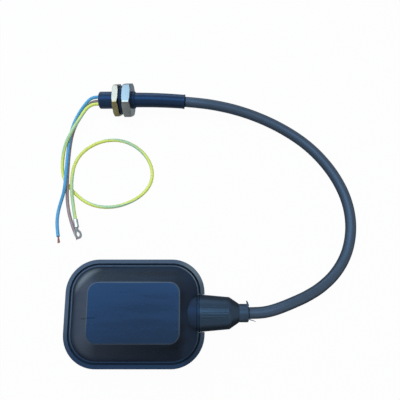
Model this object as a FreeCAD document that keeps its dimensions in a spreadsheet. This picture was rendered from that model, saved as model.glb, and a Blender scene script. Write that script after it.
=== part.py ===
import FreeCAD, Part
import math
import os
import re
import Sketcher
from FreeCAD import Placement, Rotation, Vector

# A tilt float switch: a sealed float of two moulded halves with a ball-operated
# switch inside, a rubber cable that leaves it through a gland, and a threaded
# tank fitting on the cable's far end. Millimetres. +X runs along the gland, +Z up,
# and the origin is under the middle of the float and its gland, on the floor.

os.makedirs("parts", exist_ok=True)
doc = FreeCAD.newDocument("float_switch")

SIZES = [
    ("float_length", 105.0, "length of the rim round the float"),
    ("float_width", 80.0, "width of the rim"),
    ("float_height", 42.0, "height over both flat faces"),
    ("float_corner", 25.0, "corner radius of the rim"),
    ("shell_wall", 2.2, "wall of the float halves"),
    ("rim_half", 2.2, "height of each half's rim above the seam"),
    ("lip_width", 3.0, "width of the raised lip on the rim"),
    ("groove_width", 1.5, "groove between the lip and the sloped sides"),
    ("groove_depth", 1.1, "depth of that groove"),
    ("face_end_inset", 19.4, "distance of the flat face from the rim's ends"),
    ("face_side_inset", 18.5, "distance of the flat face from the rim's sides"),
    ("plateau_corner", 7.5, "corner radius of the flat face"),
    ("plateau_shift", 1.4, "how far the flat face lies towards the gland"),
    ("plateau_round", 1.4, "rounding of the flat face's edge"),
    ("tongue_width", 1.2, "tongue in the seam"),
    ("tongue_height", 1.0, "height of the tongue"),
    ("seam_gap", 0.1, "clearance round the tongue"),
    ("neck_radius", 12.9, "radius of the neck"),
    ("neck_inset", 14.0, "start of the neck's wall, in from the rim"),
    ("neck_setback", 5.9, "end of the full neck, in from the rim"),
    ("neck_ridge", 0.7, "width and spacing of the neck's thin ridge"),
    ("neck_relief", 1.2, "depth of the grooves beside the ridge"),
    ("notch_gap", 0.15, "clearance between the rim and the gland nut"),
    ("spigot_radius", 10.4, "radius of the threaded spigot under the nut"),
    ("spigot_length", 14.0, "length of the spigot"),
    ("spigot_bore", 7.6, "radius of the spigot's bore"),
    ("throat_radius", 5.0, "radius of the cable's way into the float"),
    ("throat_length", 7.0, "length of that way"),
    ("nut_inset", 3.7, "start of the gland nut, in from the rim"),
    ("nut_radius", 13.8, "radius of the gland nut at its base"),
    ("nut_body_length", 22.2, "length of the nut's gently tapered body"),
    ("nut_shoulder_radius", 11.8, "radius at the shoulder"),
    ("nut_cone_length", 7.0, "length of the steep cone"),
    ("nut_mouth_radius", 7.1, "radius at the end of the cone"),
    ("nut_thread_gap", 0.2, "clearance over the spigot"),
    ("nut_thread_length", 15.9, "depth of the nut's wide bore"),
    ("grip_depth", 0.45, "depth of the grip grooves"),
    ("grip_width", 0.9, "width of a grip groove"),
    ("grip_pitch", 8.4, "angle between two grooves, in degrees"),
    ("grip_count", 5, "grooves in each patch"),
    ("grip_patches", 4, "patches round the nut"),
    ("thrust_thickness", 1.6, "thickness of the thrust ring"),
    ("collar_radius", 6.8, "radius of the seal's collar outside the nut"),
    ("collar_length", 7.4, "length of the collar"),
    ("seal_neck_radius", 6.0, "radius of the seal inside the nut's mouth"),
    ("seal_length", 11.0, "length of the seal in the spigot's bore"),
    ("fit_gap", 0.1, "clearance between pieces that fit in each other"),
    ("cable_radius", 4.35, "radius of the three-core cable"),
    ("core_radius", 1.4, "radius of an insulated core"),
    ("strand_radius", 0.75, "radius of a core's copper strands"),
    ("case_inset", 17.5, "distance of the switch case from the rim's ends"),
    ("case_width", 38.0, "width of the switch case"),
    ("case_height", 25.0, "height of the switch case"),
    ("case_corner", 4.0, "corner radius of the case"),
    ("case_wall", 1.8, "wall of the case"),
    ("post_radius", 3.0, "radius of the posts that hold the case"),
    ("post_inset", 6.5, "distance of the posts from the case's ends"),
    ("post_side_inset", 4.4, "distance of the posts from the case's sides"),
    ("press_inset", 17.0, "distance of the upper half's posts from those ends"),
    ("screw_radius", 1.5, "radius of the case screws"),
    ("screw_head_radius", 2.8, "radius of their heads"),
    ("screw_head_height", 1.9, "height of their heads"),
    ("screw_bite", 5.0, "length of screw in a post"),
    ("ball_radius", 9.0, "radius of the steel ball"),
    ("ball_gap", 0.4, "clearance of the ball in its tunnel"),
    ("travel_share", 0.486, "the ball's share of the case's spare length"),
    ("lever_room", 3.0, "space between the ball at its stop and the switch"),
    ("switch_width", 27.8, "width of the snap switch"),
    ("switch_depth", 15.9, "depth of the snap switch"),
    ("switch_height", 10.3, "height of the snap switch"),
    ("switch_lid", 1.2, "thickness of the switch's cover"),
    ("switch_wall", 1.4, "wall of the switch's housing"),
    ("pin_spacing", 22.2, "spacing of the switch's mounting holes"),
    ("pin_radius", 1.45, "radius of the pins that hold the switch"),
    ("pin_setback", 3.0, "place of the pins behind the switch's front"),
    ("lever_reach", 11.0, "distance of the lever's hinge from the long axis"),
    ("hinge_reach", 1.0, "distance of the hinge in front of the switch"),
    ("lever_length", 18.0, "length of the lever"),
    ("lever_tilt", 14.6, "tilt of the lever at rest, in degrees"),
    ("lever_thickness", 0.5, "thickness of the lever"),
    ("lever_height", 4.0, "height of the lever"),
    ("lever_hub", 1.0, "radius of the lever's hub"),
    ("hinge_pin_radius", 0.5, "radius of the hinge pin"),
    ("plunger_radius", 1.0, "radius of the plunger"),
    ("plunger_offset", 4.0, "distance of the plunger from the long axis"),
    ("plunger_length", 4.43, "length of the plunger behind its round tip"),
    ("plunger_front", 1.43, "centre of the round tip in front of the switch"),
    ("tab_length", 4.0, "length of a terminal outside the switch"),
    ("tab_width", 4.4, "width of a terminal"),
    ("tab_thickness", 0.6, "thickness of a terminal"),
    ("tab_spacing", 6.3, "spacing of the terminals"),
    ("tab_drop", 3.1, "drop of the closed contact's terminal"),
    ("blade_place", 5.0, "place of the contact blade behind the front"),
    ("blade_thickness", 0.3, "thickness of the contact blade"),
    ("blade_height", 3.0, "height of the contact blade"),
    ("contact_gap", 0.7, "gap of the open contact"),
    ("sheath_setback", 0.4, "space between the case's wall and the sheath's end"),
    ("core_pitch", 2.0, "distance of each core from the cable's axis"),
    ("clamp_length", 4.2, "length of the cable clamp"),
    ("clamp_half_width", 8.0, "half the width of the clamp"),
    ("clamp_rise", 6.1, "height of the clamp above the cable's axis"),
    ("clamp_ear", 2.6, "height of the clamp's ears"),
    ("clamp_screw_y", 6.3, "distance of its screws from the axis"),
    ("clamp_screw_radius", 0.9, "radius of its screws"),
    ("cap_radius", 2.0, "radius of the earth core's end cap"),
    ("cap_length", 5.0, "length of that cap"),
    ("bush_radius", 7.25, "radius of the tank fitting's rubber bush"),
    ("bush_length", 31.0, "length of the bush"),
    ("bush_end", 1.5, "potted end of the bush"),
    ("bush_socket", 8.0, "depth to which the sleeve goes into the bush"),
    ("locknut_flats", 26.0, "width over the lock nut's flats"),
    ("locknut_start", 13.2, "place of the lock nut on the bush"),
    ("locknut_thickness", 5.0, "thickness of the lock nut"),
    ("thread_radius", 9.9, "radius of the hollow screw's thread"),
    ("thread_gap", 0.06, "clearance of the lock nut on the thread"),
    ("ring_radius", 12.0, "radius of the sealing ring"),
    ("ring_thickness", 3.3, "thickness of the sealing ring"),
    ("head_flats", 27.0, "width over the screw head's flats"),
    ("head_thickness", 6.9, "thickness of the screw head"),
    ("hex_chamfer", 1.0, "chamfer on the hexagons' corners"),
    ("sleeve_length", 50.0, "length of the heat-shrink sleeve"),
    ("sleeve_root", 6.25, "radius of the sleeve in the bush"),
    ("sleeve_tip", 5.85, "radius of the sleeve near its mouth"),
    ("sleeve_flare", 6.15, "radius of its flared mouth"),
    ("flare_length", 1.6, "length of the flare"),
    ("sleeve_bend", 480.0, "radius to which the sleeve is bowed"),
    ("fitting_x", -53.2, "place of the bush's end on the floor"),
    ("fitting_y", 177.6, "place of the bush's end on the floor"),
    ("fitting_turn", -1.2, "turn of the fitting from the X axis, in degrees"),
    ("terminal_hole", 2.15, "radius of the ring terminal's hole"),
    ("terminal_ring", 4.0, "radius of the ring"),
    ("terminal_sheet", 0.8, "thickness of the ring"),
    ("terminal_tongue", 2.4, "width of the tongue behind the ring"),
    ("terminal_reach", 12.6, "hole centre ahead of the core's end"),
    ("barrel_radius", 1.9, "radius of the crimped barrel"),
    ("barrel_length", 6.8, "length of the barrel"),
    ("terminal_roll", 58.0, "roll of the terminal about its core, in degrees"),
]

# Sizes that follow from those above
DERIVED = [
    ("plateau_length", "float_length - 2 * face_end_inset", "length of the flat face"),
    ("plateau_width", "float_width - 2 * face_side_inset", "width of the flat face"),
    ("case_length", "float_length - 2 * case_inset", "length of the switch case"),
    ("post_x", "case_length / 2 - post_inset", "place of the posts"),
    ("press_x", "case_length / 2 - press_inset", "place of the pressing posts"),
    ("post_y", "case_width / 2 - post_side_inset", "the posts' distance to the axis"),
    (
        "sheath_end",
        "case_length / 2 - case_wall - sheath_setback",
        "where the cable's sheath ends in the case",
    ),
    (
        "works_length",
        "2 * ball_radius + ball_gap + lever_room + switch_depth + tab_length",
        "length of the ball and the switch behind each other",
    ),
    (
        "spare_length",
        "case_length - 2 * case_wall - sheath_setback - works_length",
        "length left for the ball's travel and the leads",
    ),
    ("ball_travel", "spare_length * travel_share", "travel of the ball"),
]

sheet = doc.addObject("Spreadsheet::Sheet", "Sizes")
for row, (alias, number, note) in enumerate(SIZES, start=1):
    sheet.set(f"A{row}", note)
    sheet.set(f"B{row}", str(number))
    sheet.setAlias(f"B{row}", alias)
for row, (alias, rule, note) in enumerate(DERIVED, start=len(SIZES) + 1):
    sheet.set(f"A{row}", note)
    sheet.set(f"B{row}", f"={rule}")
    sheet.setAlias(f"B{row}", alias)
doc.recompute()

NAMES = "|".join(alias for alias, _, _ in SIZES + DERIVED)
ALIASES = re.compile(rf"\b({NAMES})\b")

# Places that several pieces share, as formulas of the sizes. What starts with
# X_ is measured along +X from the middle of the float's rim.
FLOAT_X = "((nut_inset - nut_body_length - nut_cone_length - collar_length) / 2)"
HALF = "(float_height / 2)"
X_RIM = "(float_length / 2)"
X_NUT = f"({X_RIM} - nut_inset)"
X_NECK = f"({X_RIM} - neck_setback)"
X_SPIGOT = f"({X_NUT} + spigot_length)"
X_SHOULDER = f"({X_NUT} + nut_body_length)"
X_MOUTH = f"({X_SHOULDER} + nut_cone_length)"
X_COLLAR = f"({X_MOUTH} + collar_length)"
X_SEAL = f"({X_SPIGOT} - seal_length)"
X_THRUST = f"({X_SPIGOT} + fit_gap)"
SEAL_RADIUS = "(spigot_bore - fit_gap)"
CABLE_WAY = "(cable_radius + fit_gap)"
CASE_HALF = "(case_height / 2)"
ROOM_X = "(case_length / 2 - case_wall)"
ROOM_Y = "(case_width / 2 - case_wall)"
ROOM_Z = "(case_height / 2 - case_wall)"
TUNNEL = "(ball_radius + ball_gap)"
X_BALL = f"(ball_radius + ball_gap - {ROOM_X})"
X_SWITCH = f"({X_BALL} + ball_travel + ball_radius + lever_room)"
X_BACK = f"({X_SWITCH} + switch_depth)"
X_TABS = f"({X_BACK} + tab_length)"
X_BLADE = f"({X_SWITCH} + blade_place)"
X_HINGE = f"({X_SWITCH} - hinge_reach)"
SWITCH_HALF = "(switch_height / 2)"
LID_FACE = "(switch_height / 2 - switch_lid)"


def formula(text):
    """The text with each size's name written as a reference to its cell."""
    return ALIASES.sub(r"Sizes.\1", str(text))


def size(text):
    """The value of a formula of sizes."""
    return float(sheet.evalExpression(formula(text)))


def bind(thing, prop, text):
    """Ties a property to a formula of sizes."""
    thing.setExpression(prop, formula(text))


# Sketches and features


def new_body(label):
    body = doc.addObject("PartDesign::Body", label)
    body.Label = label
    return body


def sketch_on(body, role, offset="0"):
    """A sketch on one of the body's origin planes, moved along its normal."""
    sketch = body.newObject("Sketcher::SketchObject", f"{body.Name}_sketch")
    plane = next(f for f in body.Origin.OriginFeatures if f.Role == role)
    sketch.AttachmentSupport = (plane, [""])
    sketch.MapMode = "FlatFace"
    if offset != "0":
        bind(sketch, "AttachmentOffset.Base.z", offset)
    return sketch


def locate(sketch, edge, end, x, y):
    """Ties one point of the sketch to a formula for each coordinate."""
    for axis, kind, text in ((-2, "DistanceX", x), (-1, "DistanceY", y)):
        if str(text) == "0":
            sketch.addConstraint(Sketcher.Constraint("PointOnObject", edge, end, axis))
            continue
        index = sketch.addConstraint(
            Sketcher.Constraint(kind, -1, 1, edge, end, size(text))
        )
        bind(sketch, f"Constraints[{index}]", text)


def outline(sketch, corners):
    """A closed outline of straight edges with each corner tied to formulas."""
    points = [Vector(size(x), size(y), 0) for x, y in corners]
    first = len(sketch.Geometry)
    count = len(points)
    for i, point in enumerate(points):
        sketch.addGeometry(Part.LineSegment(point, points[(i + 1) % count]), False)
    for i in range(count):
        join = (first + i, 2, first + (i + 1) % count, 1)
        sketch.addConstraint(Sketcher.Constraint("Coincident", *join))
    for i, (x, y) in enumerate(corners):
        locate(sketch, first + i, 1, x, y)


def circle(sketch, x, y, radius):
    """A circle with its centre and radius tied to formulas."""
    centre = Vector(size(x), size(y), 0)
    edge = sketch.addGeometry(
        Part.Circle(centre, Vector(0, 0, 1), size(radius)), False
    )
    locate(sketch, edge, 3, x, y)
    index = sketch.addConstraint(Sketcher.Constraint("Radius", edge, size(radius)))
    bind(sketch, f"Constraints[{index}]", radius)


def rectangle(sketch, x0, x1, y0, y1):
    outline(sketch, [(x0, y0), (x1, y0), (x1, y1), (x0, y1)])


def rounded(sketch, length, width, corner, x="0"):
    """A rounded rectangle: four arcs joined by four tangent lines."""
    reach = size(f"({length}) / 2 - ({corner})")
    rise = size(f"({width}) / 2 - ({corner})")
    radius = size(corner)
    middle = size(x)
    signs = [(1, -1), (1, 1), (-1, 1), (-1, -1)]
    first = len(sketch.Geometry)
    arcs = []
    for quarter, (sx, sy) in enumerate(signs):
        centre = Vector(middle + sx * reach, sy * rise, 0)
        start = math.radians(90 * quarter - 90)
        ring = Part.Circle(centre, Vector(0, 0, 1), radius)
        arcs.append(Part.ArcOfCircle(ring, start, start + math.pi / 2))
    for arc in arcs:
        sketch.addGeometry(arc, False)
    for i, arc in enumerate(arcs):
        line = Part.LineSegment(arc.EndPoint, arcs[(i + 1) % 4].StartPoint)
        sketch.addGeometry(line, False)
    for i in range(4):
        line = first + 4 + i
        following = first + (i + 1) % 4
        sketch.addConstraint(Sketcher.Constraint("Tangent", first + i, 2, line, 1))
        sketch.addConstraint(Sketcher.Constraint("Tangent", line, 2, following, 1))
    for i, (sx, sy) in enumerate(signs):
        at_x = f"({x}) + ({sx}) * (({length}) / 2 - ({corner}))"
        at_y = f"({sy}) * (({width}) / 2 - ({corner}))"
        locate(sketch, first + i, 3, at_x, at_y)
        index = sketch.addConstraint(Sketcher.Constraint("Radius", first + i, radius))
        bind(sketch, f"Constraints[{index}]", corner)


def feature(body, kind, sketch, label):
    made = body.newObject(f"PartDesign::{kind}", f"{body.Name}_{label}")
    made.Profile = sketch
    return made


def pad(body, sketch, length, label, down=False):
    made = feature(body, "Pad", sketch, label)
    made.Reversed = down
    bind(made, "Length", length)
    return made


def pocket(body, sketch, depth, label, up=False):
    """Cuts towards -Z from the sketch, or towards +Z if up is true."""
    made = feature(body, "Pocket", sketch, label)
    made.Reversed = up
    bind(made, "Length", depth)
    return made


def turn(body, corners, label, kind="Revolution", role="XZ_Plane", angle=360):
    """A profile of (x, radius) turned about the body's X axis."""
    sketch = sketch_on(body, role)
    outline(sketch, corners)
    made = feature(body, kind, sketch, label)
    made.ReferenceAxis = (sketch, ["H_Axis"])
    made.Angle = angle
    return made


def place_body(body, x="0", y="0", z="0"):
    bind(body, "Placement.Base.x", x)
    bind(body, "Placement.Base.y", y)
    bind(body, "Placement.Base.z", z)


def shaped(label, shape):
    """A node whose shape is worked out with solid operations."""
    made = doc.addObject("Part::Feature", label)
    made.Label = label
    made.Shape = shape
    return made


# Float halves


def seam_ring(sketch, gap):
    """The seam's tongue, seen from above, with a clearance round it."""
    middle = "(2 * lip_width / 3)"
    for sign in (-1, 1):
        inset = f"({middle} + ({sign}) * (tongue_width / 2 + {gap}))"
        rounded(
            sketch,
            f"float_length - 2 * {inset}",
            f"float_width - 2 * {inset}",
            f"float_corner - {inset}",
        )


def float_half(label, lower):
    """One half of the float, modelled with the seam at z = 0 and opening down."""
    body = new_body(label)
    inset = "(lip_width + groove_width)"
    notch = "(nut_radius + notch_gap)"
    rim = sketch_on(body, "XY_Plane")
    rounded(rim, "float_length", "float_width", "float_corner")
    pad(body, rim, "rim_half", "rim")

    groove = sketch_on(body, "XY_Plane", "rim_half")
    for width in ("lip_width", inset):
        rounded(
            groove,
            f"float_length - 2 * {width}",
            f"float_width - 2 * {width}",
            f"float_corner - {width}",
        )
    pocket(body, groove, "groove_depth", "groove")

    seam = sketch_on(body, "XY_Plane")
    if lower:
        seam_ring(seam, "0")
        pad(body, seam, "tongue_height", "tongue", down=True)
        # The tongue stops at either side of the neck.
        stop = sketch_on(body, "XY_Plane")
        rectangle(stop, f"{X_RIM} - lip_width", f"{X_RIM} + 1", f"-{notch}", notch)
        pocket(body, stop, "tongue_height + 1", "tongue_stop")
    else:
        seam_ring(seam, "seam_gap")
        pocket(body, seam, "tongue_height + seam_gap", "seam_groove", up=True)

    slope_foot = sketch_on(body, "XY_Plane", "rim_half - groove_depth")
    rounded(
        slope_foot,
        f"float_length - 2 * {inset}",
        f"float_width - 2 * {inset}",
        f"float_corner - {inset}",
    )
    slope_top = sketch_on(body, "XY_Plane", HALF)
    rounded(
        slope_top, "plateau_length", "plateau_width", "plateau_corner", "plateau_shift"
    )
    slopes = feature(body, "AdditiveLoft", slope_foot, "slopes")
    slopes.Sections = [slope_top]
    slopes.Ruled = True
    doc.recompute()

    top = [
        f"Edge{i}"
        for i, edge in enumerate(slopes.Shape.Edges, start=1)
        if edge.BoundBox.ZMin > size(HALF) - 0.01
    ]
    rounding = body.newObject("PartDesign::Fillet", f"{label}_rounding")
    rounding.Base = (slopes, top)
    bind(rounding, "Radius", "plateau_round")

    hollow_foot = sketch_on(body, "XY_Plane")
    thin = f"({inset} + 1.25 * shell_wall)"
    rounded(
        hollow_foot,
        f"float_length - 2 * {thin}",
        f"float_width - 2 * {thin}",
        f"float_corner - {thin}",
    )
    hollow_top = sketch_on(body, "XY_Plane", f"{HALF} - shell_wall")
    rounded(
        hollow_top,
        "plateau_length - shell_wall",
        "plateau_width - shell_wall",
        "plateau_corner - shell_wall / 2",
        "plateau_shift",
    )
    hollow = feature(body, "SubtractiveLoft", hollow_foot, "hollow")
    hollow.Sections = [hollow_top]
    hollow.Ruled = True

    turn(
        body,
        [
            (f"{X_NUT} - fit_gap", "0"),
            (f"{X_RIM} + 1", "0"),
            (f"{X_RIM} + 1", notch),
            (f"{X_NUT} - fit_gap", notch),
        ],
        "notch",
        "Groove",
    )

    # The neck is half round: its profile is turned through the upper half circle.
    waist = "(neck_radius - neck_relief)"
    ridge = "(neck_radius - neck_relief / 3)"
    neck = turn(
        body,
        [
            (f"{X_RIM} - neck_inset", "0"),
            (f"{X_RIM} - neck_inset", "neck_radius"),
            (X_NECK, "neck_radius"),
            (X_NECK, waist),
            (f"{X_NECK} + neck_ridge", waist),
            (f"{X_NECK} + neck_ridge", ridge),
            (f"{X_NECK} + 2 * neck_ridge", ridge),
            (f"{X_NECK} + 2 * neck_ridge", waist),
            (f"{X_NUT} - fit_gap", waist),
            (f"{X_NUT} - fit_gap", "spigot_radius"),
            (X_SPIGOT, "spigot_radius"),
            (X_SPIGOT, "0"),
        ],
        "neck",
        role="XY_Plane",
        angle=180,
    )
    doc.recompute()
    if body.Shape.BoundBox.ZMin < -size("neck_radius") / 2:
        neck.Reversed = True
    turn(
        body,
        [
            (f"{X_RIM} - neck_inset - shell_wall", "0"),
            (f"{X_RIM} - neck_inset - shell_wall", "neck_radius - shell_wall"),
            (f"{X_SEAL} - throat_length", "neck_radius - shell_wall"),
            (f"{X_SEAL} - throat_length", "throat_radius"),
            (f"{X_SEAL} - fit_gap", "throat_radius"),
            (f"{X_SEAL} - fit_gap", "spigot_bore"),
            (f"{X_SPIGOT} + 1", "spigot_bore"),
            (f"{X_SPIGOT} + 1", "0"),
        ],
        "bore",
        "Groove",
    )

    place = "post_x" if lower else "press_x"
    posts = sketch_on(body, "XY_Plane", CASE_HALF)
    for sx in (-1, 1):
        for sy in (-1, 1):
            circle(posts, f"({sx}) * {place}", f"({sy}) * post_y", "post_radius")
    pad(body, posts, f"{HALF} - shell_wall - {CASE_HALF}", "posts")
    if lower:
        holes = sketch_on(body, "XY_Plane", CASE_HALF)
        for sx in (-1, 1):
            for sy in (-1, 1):
                circle(
                    holes, f"({sx}) * {place}", f"({sy}) * post_y", "screw_radius"
                )
        pocket(body, holes, "screw_bite + fit_gap", "pilot_holes", up=True)
        body.Placement = Placement(Vector(), Rotation(Vector(1, 0, 0), 180))
    place_body(body, FLOAT_X, "0", HALF)
    return body


shell_upper = float_half("shell_upper", lower=False)
shell_lower = float_half("shell_lower", lower=True)

# Gland

nut_blank = new_body("gland_nut_blank")
turn(
    nut_blank,
    [
        (X_NUT, "spigot_radius + nut_thread_gap"),
        (X_NUT, "nut_radius"),
        (X_SHOULDER, "nut_shoulder_radius"),
        (X_MOUTH, "nut_mouth_radius"),
        (X_MOUTH, "seal_neck_radius + fit_gap"),
        (f"{X_NUT} + nut_thread_length", "seal_neck_radius + fit_gap"),
        (f"{X_NUT} + nut_thread_length", "spigot_radius + nut_thread_gap"),
    ],
    "blank",
)
place_body(nut_blank, FLOAT_X, "0", HALF)

# Each grip groove is a thin bar laid along the nut's taper and turned about its axis.
taper = math.atan2(
    size("nut_radius - nut_shoulder_radius"), size("nut_body_length")
)
bars = []
for patch in range(round(size("grip_patches"))):
    for index in range(round(size("grip_count"))):
        bar = doc.addObject("Part::Box", "grip_bar")
        bind(bar, "Length", "nut_body_length - 2.4")
        bind(bar, "Width", "grip_width")
        bind(bar, "Height", "3 * grip_depth")
        lean = Rotation(Vector(0, 1, 0), math.degrees(taper))
        start = Vector(
            size(X_NUT) + 1.2,
            -size("grip_width") / 2,
            size("nut_radius - grip_depth") - 1.2 * math.tan(taper),
        )
        angle = 360 / size("grip_patches") * patch
        angle += size("grip_pitch") * (index - (size("grip_count") - 1) / 2)
        around = Rotation(Vector(1, 0, 0), angle)
        bar.Placement = (
            Placement(Vector(size(FLOAT_X), 0, size(HALF)), around)
            * Placement(start, lean)
        )
        bars.append(bar)
grips = doc.addObject("Part::Compound", "grip_grooves")
grips.Links = bars
gland_nut = doc.addObject("Part::Cut", "gland_nut")
gland_nut.Base = nut_blank
gland_nut.Tool = grips

thrust_ring = new_body("gland_thrust_ring")
turn(
    thrust_ring,
    [
        (X_THRUST, "seal_neck_radius + fit_gap"),
        (f"{X_THRUST} + thrust_thickness", "seal_neck_radius + fit_gap"),
        (f"{X_THRUST} + thrust_thickness", "spigot_radius - fit_gap"),
        (X_THRUST, "spigot_radius - fit_gap"),
    ],
    "ring",
)
place_body(thrust_ring, FLOAT_X, "0", HALF)

cable_seal = new_body("cable_seal")
turn(
    cable_seal,
    [
        (X_SEAL, CABLE_WAY),
        (X_COLLAR, CABLE_WAY),
        (X_COLLAR, "collar_radius - 0.6"),
        (f"{X_COLLAR} - 0.6", "collar_radius"),
        (f"{X_MOUTH} + fit_gap", "collar_radius"),
        (f"{X_MOUTH} + fit_gap", "seal_neck_radius"),
        (f"{X_SPIGOT} + fit_gap", "seal_neck_radius"),
        (X_SPIGOT, SEAL_RADIUS),
        (f"{X_SEAL} + 3", SEAL_RADIUS),
        (X_SEAL, f"{SEAL_RADIUS} - 0.8"),
    ],
    "seal",
)
place_body(cable_seal, FLOAT_X, "0", HALF)

# Switch case


def case_half(label, base):
    """One half of the case, modelled as the upper one and turned over for the base."""
    body = new_body(label)
    block = sketch_on(body, "XY_Plane")
    rounded(block, "case_length", "case_width", "case_corner")
    pad(body, block, CASE_HALF, "block")
    if base:
        tongue = sketch_on(body, "XY_Plane")
        rectangle(
            tongue,
            "case_length / 2 - 1",
            "case_length / 2 + clamp_length + 0.4",
            "-clamp_half_width",
            "clamp_half_width",
        )
        pad(body, tongue, "clamp_rise", "tongue")
    room = sketch_on(body, "XY_Plane")
    step_x = "(post_x - post_radius - 1)"
    step_y = "(post_y - post_radius - 0.4)"
    wall_x = f"({X_HINGE} - lever_length * sin(lever_tilt) - 1.5)"
    outline(
        room,
        [
            (wall_x, f"-{ROOM_Y}"),
            (step_x, f"-{ROOM_Y}"),
            (step_x, f"-{step_y}"),
            (ROOM_X, f"-{step_y}"),
            (ROOM_X, step_y),
            (step_x, step_y),
            (step_x, ROOM_Y),
            (wall_x, ROOM_Y),
        ],
    )
    pocket(body, room, ROOM_Z, "room", up=True)
    turn(
        body,
        [
            (f"-{ROOM_X}", "0"),
            (f"-{ROOM_X}", TUNNEL),
            (f"{wall_x} + 1", TUNNEL),
            (f"{wall_x} + 1", "0"),
        ],
        "tunnel",
        "Groove",
    )
    turn(
        body,
        [
            (f"{ROOM_X} - 1", "0"),
            (f"{ROOM_X} - 1", CABLE_WAY),
            ("case_length / 2 + clamp_length + 1", CABLE_WAY),
            ("case_length / 2 + clamp_length + 1", "0"),
        ],
        "cable_way",
        "Groove",
    )
    seat = sketch_on(body, "XY_Plane", f"{SWITCH_HALF} + fit_gap / 2")
    rectangle(
        seat,
        f"{X_SWITCH} + 0.5",
        f"{X_BACK} - 0.5",
        f"-{ROOM_Y}",
        ROOM_Y,
    )
    pad(body, seat, f"{ROOM_Z} - {SWITCH_HALF} - fit_gap / 2", "seat")
    pin_x = f"({X_SWITCH} + pin_setback)"
    if base:
        pins = sketch_on(body, "XY_Plane", f"-{LID_FACE}")
        for side in (-1, 1):
            circle(pins, pin_x, f"({side}) * pin_spacing / 2", "pin_radius")
        pad(body, pins, f"{LID_FACE} + {SWITCH_HALF} + 1", "pins")
        pilots = sketch_on(body, "XY_Plane")
        for side in (-1, 1):
            circle(
                pilots,
                "case_length / 2 + 0.3 + clamp_length / 2",
                f"({side}) * clamp_screw_y",
                "clamp_screw_radius",
            )
        pocket(body, pilots, "4.6", "clamp_pilots", up=True)
    holes = sketch_on(body, "XY_Plane")
    for sx in (-1, 1):
        for sy in (-1, 1):
            circle(
                holes,
                f"({sx}) * post_x",
                f"({sy}) * post_y",
                "screw_radius + fit_gap",
            )
    pocket(body, holes, f"{CASE_HALF} + 1", "screw_holes", up=True)
    if base:
        body.Placement = Placement(Vector(), Rotation(Vector(1, 0, 0), 180))
    place_body(body, FLOAT_X, "0", HALF)
    return body


case_base = case_half("case_base", base=True)
case_lid = case_half("case_lid", base=False)


def turned(corners):
    """A solid of (z, radius) corners turned about Z."""
    points = [Vector(radius, 0, z) for z, radius in corners]
    face = Part.Face(Part.makePolygon(points + points[:1]))
    return face.revolve(Vector(), Vector(0, 0, 1), 360)


def screw(shank_radius, shank_length, head_radius, head_height):
    """A cross-head screw that points down from z = 0, with its head above."""
    made = turned(
        [
            (-shank_length, 0),
            (-shank_length, shank_radius * 0.5),
            (shank_radius - shank_length, shank_radius),
            (0, shank_radius),
            (0, head_radius),
            (head_height * 0.55, head_radius),
            (head_height, head_radius * 0.6),
            (head_height, 0),
        ]
    )
    arm = head_radius * 1.1
    slot = head_radius * 0.22
    for length, width in ((arm, slot), (slot, arm)):
        bar = Part.makeBox(length, width, head_height * 0.5)
        bar.translate(Vector(-length / 2, -width / 2, head_height * 0.6))
        made = made.cut(bar)
    return made


middle = Vector(size(FLOAT_X), 0, size(HALF))
case_screws = []
for sx in (-1, 1):
    for sy in (-1, 1):
        one = screw(
            size("screw_radius - fit_gap / 2"),
            size("case_height + screw_bite"),
            size("screw_head_radius"),
            size("screw_head_height"),
        )
        at = Vector(sx * size("post_x"), sy * size("post_y"), size(CASE_HALF))
        one.translate(middle + at)
        case_screws.append(one)
shaped("case_screws", Part.makeCompound(case_screws))

# Ball and snap switch

ball = doc.addObject("Part::Sphere", "steel_ball")
ball.Label = "steel_ball"
bind(ball, "Radius", "ball_radius")
bind(ball, "Placement.Base.x", f"{FLOAT_X} + {X_BALL}")
bind(ball, "Placement.Base.z", HALF)

housing = new_body("switch_housing")
block = sketch_on(housing, "XY_Plane", f"-{SWITCH_HALF}")
rectangle(block, X_SWITCH, X_BACK, "-switch_width / 2", "switch_width / 2")
pad(housing, block, "switch_height - switch_lid", "block")
cavity = sketch_on(housing, "XY_Plane", LID_FACE)
CAVITY_Y = "(pin_spacing / 2 - pin_radius - 1.0)"
rectangle(
    cavity,
    f"{X_SWITCH} + switch_wall",
    f"{X_BACK} - switch_wall",
    f"-{CAVITY_Y}",
    CAVITY_Y,
)
pocket(housing, cavity, "switch_height - switch_lid - switch_wall", "cavity")
pin_holes = sketch_on(housing, "XY_Plane", LID_FACE)
for side in (-1, 1):
    circle(
        pin_holes,
        f"{X_SWITCH} + pin_setback",
        f"({side}) * pin_spacing / 2",
        "pin_radius + fit_gap",
    )
pocket(housing, pin_holes, "switch_height", "pin_holes")
ear_reach = "(hinge_reach + lever_hub + 0.2)"
for sign in (-1, 1):
    near = "(lever_height / 2 + 0.3)"
    level = near if sign > 0 else f"-({near} + 1)"
    ear = sketch_on(housing, "XY_Plane", level)
    rectangle(
        ear,
        f"{X_SWITCH} - {ear_reach}",
        f"{X_SWITCH} + 0.5",
        "-lever_reach - 1.4",
        "-lever_reach + 1.4",
    )
    pad(housing, ear, "1", f"ear_{sign + 1}")
pin_way = sketch_on(housing, "XY_Plane", LID_FACE)
circle(pin_way, X_HINGE, "-lever_reach", "hinge_pin_radius + 0.03")
pocket(housing, pin_way, "switch_height", "hinge_hole")
plunger_way = sketch_on(housing, "YZ_Plane", f"{X_SWITCH} - 1")
circle(plunger_way, "-plunger_offset", "0", "plunger_radius + 0.08")
pocket(housing, plunger_way, "switch_wall + 2", "plunger_way", up=True)
slots = sketch_on(housing, "YZ_Plane", f"{X_BACK} + 1")
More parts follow.
